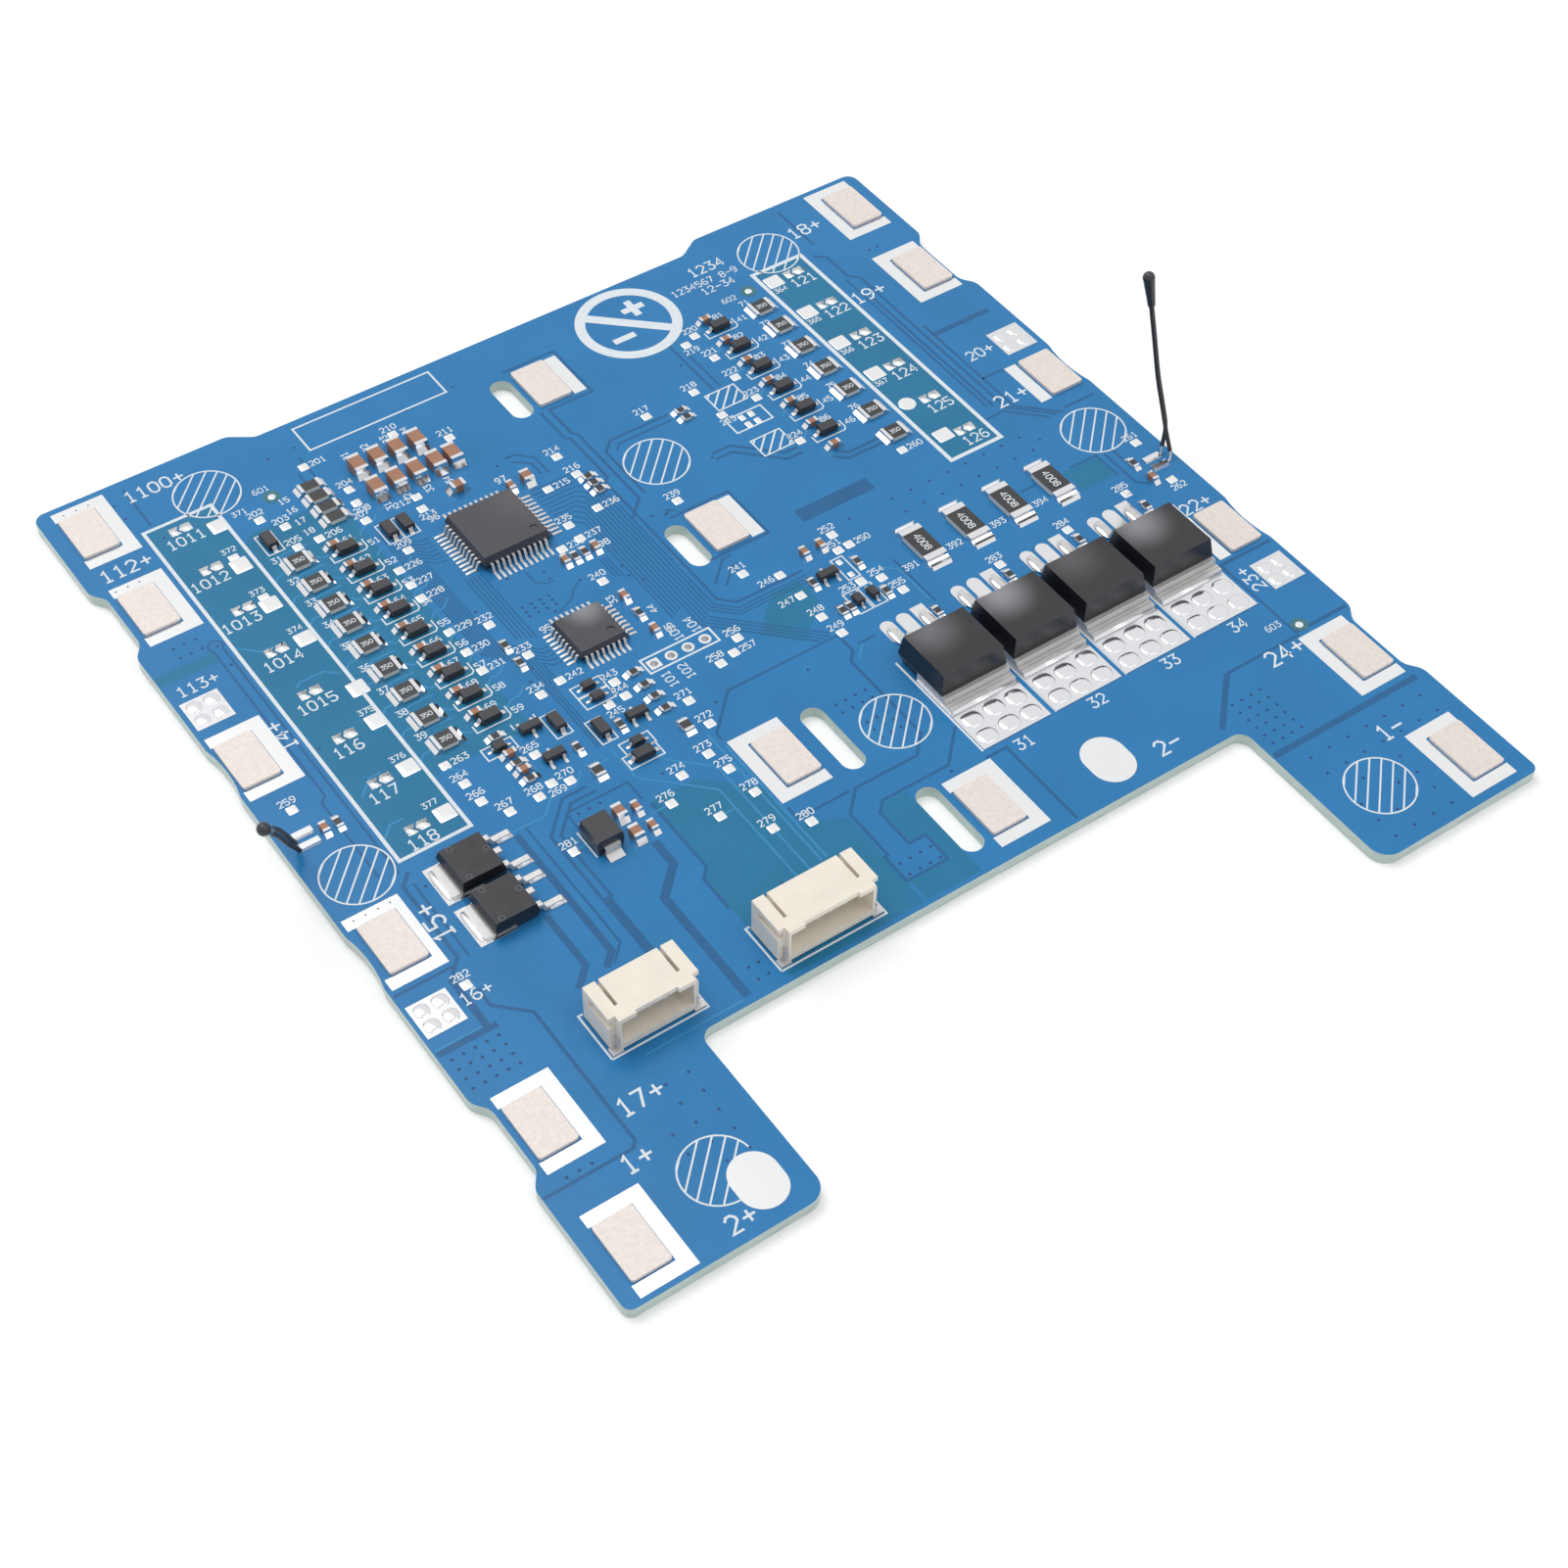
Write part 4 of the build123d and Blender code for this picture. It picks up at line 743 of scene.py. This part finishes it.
# Small square test pads, with the side their number stands on where it isn't above
TEST_PADS = (
    (-32, 60.2, "r"), (-41.6, 54.4), (-39.4, 51.5), (-29.1, 53), (-39.9, 47.2), (-36.8, 47, "r"),
    (-30.2, 46.6), (-29.6, 50.2, "b"), (-28.4, 38.7), (-19, 59.2), (-13, 54.4), (-22.5, 46.8, "l"),
    (-23, 44.4, "b"), (-3.1, 43.1), (-7.4, 38.3, "r"), (-2.7, 38.7), (11.2, 43.1), (19.3, 43.6),
    (23.9, 52.4, "b"), (26, 53.4), (25.7, 48), (25.8, 43), (25.8, 37.9), (25.7, 27.4), (19.9, 37.6, "b"),
    (-31.2, 36.1, "r"), (-31.3, 33, "r"), (-31.4, 30.2, "r"), (-31.5, 23, "r"), (-31.5, 18.8, "r"),
    (-31.5, 15, "r"), (-26.7, 21.3), (-25.4, 14.1), (-27.6, 7.4), (-8.8, 31), (-3.9, 31.7, "r"),
    (-8.9, 28.1, "r"), (-11.9, 27.7, "r"), (5.5, 26.9), (-10.7, 19.8), (4.9, 10.8), (-24.4, 8.1, "r"),
    (-19, 4.1), (-19.1, 1.4), (-21.6, 1.2, "b"), (8.7, 7.9, "l"), (8.8, 3.4, "l"), (8.8, -1.2), (9.3, -4.9),
    (19.4, 7.5, "r"), (17.6, 7.4), (18.6, 10.2), (16.7, 1.2, "l"), (19.3, 0.2), (20.3, -3.1), (-2.1, 1.8),
    (-3.9, -0.1, "r"), (-6.3, -0.7), (-61.8, 8.2), (36, 18.2, "r"), (63, 1.6), (62.3, -6.7, "b"),
    (-43.3, 4, "r"), (-42.8, 0.2), (-33.4, -0.6), (-42.6, -3.3), (-40.6, -6.6), (-36.5, -6.6),
    (-34.2, -5.6, "b"), (-32.1, -6.5), (-13.1, -3.7), (-13.1, -8.3), (-16, -12.3), (-20.6, -13.4),
    (-15.3, -15.7), (-24.1, -16.4), (-20.4, -21.3), (-14.8, -20.5), (-16.3, -26.4), (-11.9, -28.1),
    (-37.6, -16.1), (-58, -25.7), (33.4, -6.5), (44.7, -6.4), (55.5, -5.4),
)
# From a pad to its number: above, below, on the left and on the right
LABEL_OFFSETS = {"a": (-1.1, 0.95), "b": (-1.1, -1.9), "l": (-3.3, -0.45), "r": (0.95, -0.45)}
# Larger test pads: place and size, then the round one: place and radius
LARGE_TEST_PADS = (
    (-46.5, 56.5, 2.7, 2.6), (-47.5, 48.4, 2.6, 2.8), (-47.7, 40, 2.7, 2.6), (-47, 32.3, 2.6, 2.5),
    (-45.7, 21.1, 2.6, 2.7), (-46.5, 15.1, 2.6, 2.6), (-47.1, 6.3, 2.6, 2.6), (-47.1, -2.4, 2.6, 2.6),
    (-47.6, 50.2, 1.5, 1), (-47.8, 41.7, 1.5, 1), (42, 57, 2.7, 2.6), (42.1, 48.8, 2.7, 2.6),
    (42, 40.9, 2.7, 2.6), (42.2, 32.9, 2.7, 2.6), (42.4, 17.5, 2.7, 2.5),
)
ROUND_TEST_PAD = (42.1, 25.3, 1.3)
# Alignment dots, and pads without a part
FIDUCIALS = ((-38.2, 57.5), (37.8, 57.3), (58.2, -36.5))
EMPTY_PADS = ((21.8, 34), (21.8, 35.6), (23.3, 34), (23.3, 35.6))
EMPTY_SMALL_PADS = ((16.4, 5.5), (16.4, 2.9))
# Half the size of each kind
TEST_PAD_HALF = (0.7, 0.7)
EMPTY_PAD_HALF = (0.45, 0.6)
EMPTY_SMALL_PAD_HALF = (0.4, 0.5)
DOT_HALF = (0.55, 0.55)
DOT_RING_RADIUS = 0.85
DOT_RING_WIDTH = 0.6

# Numbers beside the parts of each balancing cell: first number, count, first x and
# y, and the step down to the next
NUMBERED_ROWS = (
    (51, 9, -31.9, 42.2, 4.45), (31, 9, -44, 46.1, 4.6), (61, 9, -34.4, 44.5, 4.45),
    (41, 6, 32.9, 52.4, 5.18), (71, 6, 35, 54.9, 5.3), (81, 6, 30.4, 54.7, 5.18),
)
# Numbers that run on from place to place: first number, height, turn, weight, then
# the x and y of each place
NUMBERED_PLACES = (
    (371, 0.85, 0, 0.17, -44.2, 56.7, -48.6, 51.2, -49.1, 42.5, -48.3, 33.95, -47.8, 16.75, -48.4, 7.95,
        -48.9, -0.6),
    (364, 0.85, 0, 0.17, 40.8, 54.55, 40.8, 46.35, 40.8, 38.45, 40.8, 30.45),
    (15, 0.95, 0, 0.17, -38, 55.4, -38, 53.2, -38, 50.8, -38, 48.5),
    (21, 0.95, 90, 0.17, -25.9, 58.2, -22.9, 58.2, -19.9, 58.2, -16.9, 58.2),
    (31, 0.95, 90, 0.17, -25.9, 46.6, -22.9, 46.6, -19.9, 46.6, -16.9, 46.6),
    (95, 1, 0, 0.17, -21.9, 16.2, -23.4, 41.6, -12.4, 42.9, -7.5, 25.2),
    (101, 1.15, 90, 0.15, -12.5, -0.7, -10, -0.7, -7.6, 5.6, -5, 5.6),
)


def hatch(ink, inside, centre, reach=HATCH_RADIUS, pitch=HATCH_PITCH, width=HATCH_WIDTH):
    """Slanting lines kept to the part that lies inside a shape."""
    count = int(2 * reach / pitch) + 1
    samples = 120
    for index in range(-count, count + 1):
        shift = index * pitch
        run = []
        for step in range(samples + 1):
            along = -1.5 * reach + 3 * reach * step / samples
            x = centre[0] + along + shift / 2
            y = centre[1] + along - shift / 2
            if inside(x, y):
                run.append((x, y))
        if len(run) > 3:
            ink.ribbon([run[0], run[-1]], width, lift=OVERLAP_STEP)


def build_print():
    """The white print: frames, hatched places, numerals and the polarity mark."""
    ink = Solids(SILK_STEP)
    for width, *corners in FRAMES:
        ink.ribbon(rectangle(*corners), width, closed=True)
    for width, *numbers in OPEN_LINES:
        ink.ribbon(paired(numbers), width)
    for centre in HATCHED_CIRCLES:
        ink.ring(centre, HATCH_RADIUS, HATCH_WIDTH, 48)
        hatch(ink, in_circle(centre), centre)
    ink.ribbon(arc(CUT_CIRCLE, HATCH_RADIUS, *CUT_ARC, 36), HATCH_WIDTH)
    hatch(ink, in_circle(CUT_CIRCLE), CUT_CIRCLE)
    for box in HATCHED_BOXES:
        ink.ribbon(rectangle(*box), HATCH_WIDTH, closed=True)
        middle = ((box[0] + box[2]) / 2, (box[1] + box[3]) / 2)
        hatch(ink, in_box(*box), middle, BOX_HATCH_REACH, BOX_HATCH_PITCH, BOX_HATCH_WIDTH)
    for text, x, y, height, *turn in LARGE_NUMERALS:
        write(ink, text, (x, y), height, *turn, weight=LARGE_WEIGHT)
    for (number, x), y in zip(LEFT_SWITCH_LABELS, LEFT_SWITCH_ROWS):
        write(ink, number, (x, y - SWITCH_DROP), SWITCH_HEIGHT, weight=LARGE_WEIGHT)
    for number, y in enumerate(RIGHT_SWITCH_ROWS, start=121):
        write(ink, number, (RIGHT_LABEL_X, y - SWITCH_DROP), SWITCH_HEIGHT, weight=LARGE_WEIGHT)
    for count, x, y, step in DIODE_BRACKETS:
        for index in range(count):
            diode_bracket(ink, x, y - step * index)
    build_small_numerals(ink)
    polarity_mark(ink)
    ink.piece("white_print", "board", silk_material("board_print"))


def in_circle(centre):
    """A test for places inside a hatched circle and clear of the left oval pad."""

    def inside(x, y):
        dx, dy = x - OVAL_PAD[0], y - OVAL_PAD[1]
        clear = math.hypot(dx / OVAL_CLEARANCE[0], dy / OVAL_CLEARANCE[1]) > 1
        return clear and math.hypot(x - centre[0], y - centre[1]) < HATCH_RADIUS

    return inside


def in_box(x_low, y_low, x_high, y_high):
    """A test for places inside a hatched box."""
    return lambda x, y: x_low < x < x_high and y_low < y < y_high


def diode_bracket(ink, x, y):
    """Print under and beside one balancing diode."""
    outline = ((-2.5, 0.1), (-2.5, -1.2), (2.1, -1.2), (2.5, -0.8), (2.5, 0.8))
    ink.ribbon([(x + dx, y + dy) for dx, dy in outline], FINE_LINE)


def build_small_numerals(ink):
    """A running number beside each test pad and part."""
    for number, (x, y, *side) in enumerate(TEST_PADS, start=201):
        dx, dy = LABEL_OFFSETS[side[0] if side else "a"]
        write(ink, number, (x + dx, y + dy))
    for first, count, x, y, step in NUMBERED_ROWS:
        for index in range(count):
            write(ink, first + index, (x, y - step * index))
    for first, height, turn, weight, *numbers in NUMBERED_PLACES:
        for number, place in enumerate(paired(numbers), start=first):
            write(ink, number, place, height, turn, weight)
    for number, (corner, _) in enumerate(solid_boxes("shunt_resistor_bodies"), start=391):
        write(ink, number, (corner[0] - 2.9, corner[1] - 0.3))
    for number, place in ((33, (-11.1, 15.6)), (44, (-7.7, 11.4)), (55, (-7.7, 7.4))):
        write(ink, number, place, turn=90)


def polarity_mark(ink):
    """A ring with a bar across it, a plus on one side and a minus on the other."""
    x, y = MARK_CENTRE
    ink.ring(MARK_CENTRE, MARK_RADIUS, MARK_WIDTH, 64)
    angle = math.radians(MARK_BAR_ANGLE)
    across, along = math.cos(angle), math.sin(angle)
    ends = [(x + side * across * MARK_RADIUS, y + side * along * MARK_RADIUS) for side in (1, -1)]
    ink.ribbon(ends, MARK_WIDTH, lift=OVERLAP_STEP)
    for side in (-1, 1):
        mx, my = x + side * along * MARK_OFFSET, y - side * across * MARK_OFFSET
        ink.ribbon([(mx - MARK_ARM, my), (mx + MARK_ARM, my)], MARK_STROKE)
        if side > 0:
            ink.ribbon([(mx, my - MARK_ARM), (mx, my + MARK_ARM)], MARK_STROKE, lift=OVERLAP_STEP)


def build_pads():
    """Test pads, jumpers, alignment dots and the empty places of parts not fitted."""
    pads = Solids(JUMPER_STEP)
    for x, y, *_ in TEST_PADS:
        pads.dome((x, y), TEST_PAD_HALF, PAD_STEP, 9.0, 2, 20)
    for x, y, width, length in LARGE_TEST_PADS:
        pads.dome((x, y), (width / 2, length / 2), PAD_STEP, 14.0, 2)
    x, y, radius = ROUND_TEST_PAD
    pads.dome((x, y), (radius, radius), PAD_STEP, sides=32)
    for x, rows in ((LEFT_SWITCH_X, LEFT_SWITCH_ROWS), (RIGHT_SWITCH_X, RIGHT_SWITCH_ROWS)):
        for row in rows:
            jumper(pads, x, row)
    for place in EMPTY_PADS:
        pads.dome(place, EMPTY_PAD_HALF, PAD_STEP, 8.0, 2, 20)
    for place in EMPTY_SMALL_PADS:
        pads.dome(place, EMPTY_SMALL_PAD_HALF, PAD_STEP, 8.0, 2, 20)
    rings = Solids(RING_STEP)
    for place in FIDUCIALS:
        pads.dome(place, DOT_HALF, PAD_STEP)
        rings.ring(place, DOT_RING_RADIUS, DOT_RING_WIDTH, 32)
    pads.piece("test_pads", "tinned_copper", smooth=True)
    rings.piece("alignment_rings", "board", mask_material("bare_ring", RING_GREEN))


def jumper(pads, x, y):
    """Two halves of a solder jumper, with an arrow-shaped gap between them."""
    outer = ((-1.5, -0.75), (-0.1, -0.75), (-0.55, 0.0), (-0.1, 0.75), (-1.5, 0.75))
    inner = ((0.25, -0.75), (1.5, -0.75), (1.5, 0.75), (0.25, 0.75), (-0.2, 0.0))
    for half in (outer, inner):
        pads.plate([(x + dx, y + dy) for dx, dy in half])


# Solder: the square wire pads and where the dimples stand on each
WIRE_PADS = ((-62.65, 28.2), (-62.8, -27.3), (62.4, 28.0), (62.45, -27.55))
WIRE_PAD_MOUNDS = ((-1.2, 1.2), (1.2, 1.25), (-1.25, -1.2), (1.2, -1.15))
# How far a mound's base lies under the pad's top, and how high each kind rises
MOUND_SUNK = 0.02
WIRE_PAD_THICKNESS = 0.07
WIRE_MOUND_HEIGHT = 0.22
DRAIN_MOUND_HEIGHT = 0.17
LEAD_MOUND_HEIGHT = 0.3
FOOT_MOUND_HEIGHT = 0.42
# Solder that slopes up to a transistor's tab, and up a resistor's end, as shares
TAB_FILLET = ((-0.5, -0.02), (0.04, -0.02), (0.04, 0.46), (-0.07, 0.24), (-0.24, 0.08))
END_FILLET = ((-0.04, 0.0), (0.62, 0.0), (0.42, 0.26), (0.22, 0.6), (0.03, 1.0), (-0.04, 1.0))
# Steps pressed into a transistor's tab: distance from its front, height and width
TAB_STEPS = ((0.55, 0.6, 0.09), (1.06, 0.6, 0.14), (1.5, 1.27, 0.1))
# Where the round moulding marks stand on a power diode's top, as shares of its
# length from the tab side and of its width from the +Y side
MOULD_MARKS = ((0.25, 0.12), (0.22, 0.88), (0.86, 0.46))
MOULD_MARK_RADIUS = 0.36
MOULD_MARK_WIDTH = 0.12
# Solder pads that reach further than this along X, from their middle, are the tabs'
DIODE_TAB_PAD_REACH = 1.5
# Numbers on resistors: node, text, height, turn
RESISTOR_MARKS = (("shunt_resistor_bodies", "4008", 0.95, -90), ("balance_resistor_bodies", "350", 0.66, 0))
# Painted highlights on the black tops: how bright on each power transistor, and place,
# reach and brightness on the control chips
POWER_HIGHLIGHT_SHARES = (0.3, 0.62, 0.16, 0.55)
POWER_HIGHLIGHT_REACH = 5.6
CHIP_PAINTED_HIGHLIGHTS = ((-16.2, 15.6, 3.8, 0.5), (-11.0, 38.0, 9.0, 0.1))


def in_mm(box):
    """A box's two corners in millimetres."""
    return [[value / MM for value in corner] for corner in box]


def build_solder():
    """Dimpled solder on the wire pads and the transistors' drain pads."""
    solder = Solids()
    solder.low = BOARD_TOP + WIRE_PAD_THICKNESS - MOUND_SUNK
    for x, y in WIRE_PADS:
        for index, (dx, dy) in enumerate(WIRE_PAD_MOUNDS):
            spread = 1.0 + 0.08 * math.sin(3 * x + index)
            solder.mound((x + dx, y + dy), (spread, 1.05), WIRE_MOUND_HEIGHT)
    for number in range(1, 5):
        drain_solder(solder, number)
    solder.piece("solder_mounds", "solder", smooth=True)


def drain_solder(solder, number):
    """Solder on one power transistor's drain pad, in front of its tab, and round its leads."""
    low, high = in_mm(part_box(f"mosfet_{number}_tab"))
    front, pad_top = low[1], low[2]
    middle = (low[0] + high[0]) / 2
    solder.low = pad_top - MOUND_SUNK
    for column in (-3.4, 0.0, 3.4):
        for row, back in enumerate((2.1, 5.2)):
            wobble = 0.1 * math.sin(7 * middle + 3 * column + row)
            place = (middle + column + wobble, front - back + wobble)
            solder.mound(place, (1.45, 1.35 - 0.1 * row), DRAIN_MOUND_HEIGHT)
    solder.prism([(front + y, pad_top + z) for y, z in TAB_FILLET], low[0] + 0.15, high[0] - 0.15)
    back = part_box(f"mosfet_{number}_body")[1][1] / MM
    for side in (-1, 1):
        solder.mound((middle + side * 2.55, back + 3.4), (0.82, 1.7), LEAD_MOUND_HEIGHT)


def build_diode_details():
    """Solder round the power diodes' feet and tabs, and the moulding marks on their tops."""
    solder = Solids()
    for low, high in solid_boxes("power_diode_solder_pads"):
        middle = [(a + b) / 2 for a, b in zip(low, high)]
        half = [(b - a) / 2 for a, b in zip(low, high)]
        solder.low = high[2] - MOUND_SUNK
        if half[0] < DIODE_TAB_PAD_REACH:
            solder.mound(middle, (half[0] * 0.97, half[1] * 0.97), FOOT_MOUND_HEIGHT)
        else:
            solder.mound((low[0] + 0.75, middle[1]), (0.62, half[1] * 0.86), LEAD_MOUND_HEIGHT)
    solder.piece("diode_solder", "solder", smooth=True)
    marks = Solids()
    for low, high in solid_boxes("power_diode_bodies"):
        marks.low, marks.high = high[2] + SUNK, high[2] + MOULD_MARK_STEP
        for along, across in MOULD_MARKS:
            place = (low[0] + along * (high[0] - low[0]), high[1] - across * (high[1] - low[1]))
            marks.ring(place, MOULD_MARK_RADIUS, MOULD_MARK_WIDTH, 24)
    marks.piece("mould_marks", "black_moulding", moulded_material("mould_mark", MARK_GREY, 0.3, 0.2))


def build_end_fillets():
    """Solder that slopes from the board up both ends of the current-sensing resistors."""
    solder = Solids()
    body_low, body_high = in_mm(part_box("shunt_resistor_bodies"))
    middle = (body_low[1] + body_high[1]) / 2
    for low, high in solid_boxes("shunt_resistor_ends"):
        facing = -1 if (low[1] + high[1]) / 2 < middle else 1
        foot = low[1] if facing < 0 else high[1]
        rise = (high[2] - low[2]) * 0.8
        profile = [(foot + facing * y, low[2] + SUNK + z * rise) for y, z in END_FILLET]
        solder.prism(profile, low[0] + 0.1, high[0] - 0.1)
    solder.piece("resistor_end_solder", "solder")


def build_tab_lines():
    """The fine steps pressed into the power transistors' metal tabs, in a darker grey that paints the shade
    in each step.
    """
    lines = Solids()
    for number in range(1, 5):
        low, high = in_mm(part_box(f"mosfet_{number}_tab"))
        for setback, rise, width in TAB_STEPS:
            y, z = low[1] + setback, low[2] + rise
            profile = [(y, z - 0.01), (y + width, z - 0.01), (y + width, z + 0.03), (y, z + 0.03)]
            lines.prism(profile, low[0] + 0.1, high[0] - 0.1)
    lines.piece("tab_step_lines", "tinned_lead", metal_material("tab_step_painted_shade", TAB_STEP_SHADE, 0.4, 0.4, 1.5, 0.001))


def solid_boxes(node):
    """The box of each separate solid of a CAD node, in millimetres."""
    source = bpy.data.objects[node]
    mesh = bmesh.new()
    mesh.from_mesh(source.data)
    mesh.transform(source.matrix_world)
    bmesh.ops.remove_doubles(mesh, verts=mesh.verts, dist=0.000001)
    waiting = set(mesh.verts)
    boxes = []
    while waiting:
        reached = [waiting.pop()]
        points = []
        while reached:
            vert = reached.pop()
            points.append(vert.co / MM)
            linked = {edge.other_vert(vert) for edge in vert.link_edges} & waiting
            waiting -= linked
            reached += linked
        boxes.append([[pick(values) for values in zip(*points)] for pick in (min, max)])
    mesh.free()
    return sorted(boxes)


def build_part_marks():
    """Plain numbers on the tops of the current-sensing and balancing resistors."""
    marks = Solids()
    for node, text, height, turn in RESISTOR_MARKS:
        width = (NUMERAL_PITCH * len(text) - 0.26) * height
        for low, high in solid_boxes(node):
            x, y = [(a + b) / 2 for a, b in zip(low, high)][:2]
            place = (x - height / 2, y + width / 2) if turn else (x - width / 2, y - height / 2)
            marks.low, marks.high = high[2] + SUNK, high[2] + PART_PRINT_STEP
            write(marks, text, place, height, turn, weight=0.16)
    marks.piece("resistor_marks", "resistor_body", silk_material("part_print"))


def power_blooms():
    """The painted highlight near the back edge of each power transistor's top."""
    painted_highlights = []
    for number, share in enumerate(POWER_HIGHLIGHT_SHARES, start=1):
        low, high = in_mm(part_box(f"mosfet_{number}_body"))
        painted_highlights.append(((low[0] + high[0]) / 2 - 1.4, high[1] - 1.2, POWER_HIGHLIGHT_REACH, share))
    return painted_highlights


def dress_cad():
    """Give every CAD node its material: tinned copper and solder keep the frame's own."""
    materials = {
        "tinned_copper": bpy.data.materials["tinned_copper"],
        "solder": bpy.data.materials["solder"],
        "nickel_tab": metal_material("nickel_tab", NICKEL, 0.15, 0.5, 0.45, 0.003, 0.09),
        "tinned_lead": metal_material("tinned_lead", LEAD, 0.4, 0.33, 1.6, 0.001),
        "black_moulding": moulded_material("black_moulding", MOULD_BLACK, 0.36, 0.16),
        "capacitor_body": moulded_material("brown_ceramic", CERAMIC_BROWN, 0.5, 0.3),
        "bead_coating": moulded_material("bead_coating", BEAD_BLACK, 0.22, 0.6),
        "lead_sleeve": moulded_material("lead_sleeve", SLEEVE_BLACK, 0.6, 0.4),
        "board": board_material(),
        "resistor_body": glazed_material(),
        "socket_housing": ivory_material(),
    }
    # Power transistors, power diodes and control chips: black tops with painted highlights
    power = bloomed_material("power_moulding_painted_highlight", POWER_BLACK, 0.26, 0.2, power_blooms())
    chip = bloomed_material("chip_moulding_painted_highlight", CHIP_GREY, 0.38, 0.2, CHIP_PAINTED_HIGHLIGHTS)
    special = {f"mosfet_{number}_body": power for number in range(1, 5)}
    special |= {"power_diode_bodies": power, "controller_body": chip, "monitor_body": chip}
    for entry in frame["record"]["subparts"]:
        node = bpy.data.objects[entry["node"]]
        node.data.materials.clear()
        node.data.materials.append(special.get(entry["node"], materials[entry["material_slot"]]))


# Stage, in metres: the floor's reach, how far it lies under the board, how bright the
# world lights the board, and the lamps' size, names, places and power
FLOOR_REACH = 1.2
FLOOR_DROP = 0.00003
WORLD_LIGHT = 0.5
LAMP_SIZE = 0.9
LAMPS = (("key_lamp", (-0.17, 0.64, 1.24), 8.3), ("fill_lamp", (0.35, -0.61, 1.21), 3.3))


def build_floor():
    """A plain white floor."""
    mesh = bpy.data.meshes.new("floor")
    corners = rectangle(-FLOOR_REACH, -FLOOR_REACH, FLOOR_REACH, FLOOR_REACH)
    mesh.from_pydata([(x, y, -FLOOR_DROP) for x, y in corners], [], [(0, 1, 2, 3)])
    floor = placed("floor", mesh)
    paint = Nodes("white_floor")
    paint.set(Roughness=0.9, Base_Color=(0.92, 0.92, 0.92, 1.0))
    paint.set(Emission_Color=(1.0, 1.0, 1.0, 1.0), Emission_Strength=0.15)
    mesh.materials.append(paint.material)


def build_world():
    """A world that is white to the camera and in reflections, and dimmer as light."""
    world = bpy.data.worlds.new("white_world")
    bpy.context.scene.world = world
    world.use_nodes = True
    nodes = Tree(world.node_tree)
    rays = nodes.new("LightPath").outputs
    white = rays["Is Camera Ray"]
    for kind in ("Is Glossy Ray", "Is Transmission Ray"):
        white = nodes.math("MAXIMUM", white, rays[kind])
    ramp = nodes.new("MapRange", {"Value": white, "To Min": WORLD_LIGHT, "To Max": 1.0})
    background = nodes.tree.nodes["Background"]
    nodes.fill(background.inputs["Color"], (1.0, 1.0, 1.0, 1.0))
    nodes.fill(background.inputs["Strength"], ramp.outputs["Result"])


def build_lamps():
    """Square area lamps that look at the board's centre."""
    for name, place, power in LAMPS:
        data = bpy.data.lights.new(name, "AREA")
        data.size = LAMP_SIZE
        data.energy = power
        light = placed(name, data)
        light.location = place
        light.rotation_euler = (-Vector(place)).to_track_quat("-Z", "Y").to_euler()


def build_camera():
    """The photograph's view."""
    azimuth = math.radians(CAMERA_AZIMUTH)
    elevation = math.radians(CAMERA_ELEVATION)
    level = math.cos(elevation)
    forward = Vector((-math.sin(azimuth) * level, math.cos(azimuth) * level, -math.sin(elevation)))
    side = forward.cross(Vector((0, 0, 1))).normalized()
    right = Matrix.Rotation(math.radians(CAMERA_ROLL), 3, forward) @ side
    turn = Matrix((right, right.cross(forward), -forward)).transposed()
    data = bpy.data.cameras.new("camera")
    data.lens = CAMERA_LENS
    data.sensor_width = 36.0
    data.shift_x, data.shift_y = CAMERA_SHIFT
    data.clip_start = 0.01
    camera = placed("camera", data)
    camera.matrix_world = Matrix.Translation(Vector(CAMERA_PLACE) * MM) @ turn.to_4x4()
    bpy.context.scene.camera = camera


bpy.context.scene.view_settings.view_transform = "Standard"
build_camera()
build_floor()
build_world()
build_lamps()
dress_cad()
build_copper()
build_vias()
build_print()
build_pads()
build_solder()
build_diode_details()
build_end_fillets()
build_tab_lines()
build_part_marks()
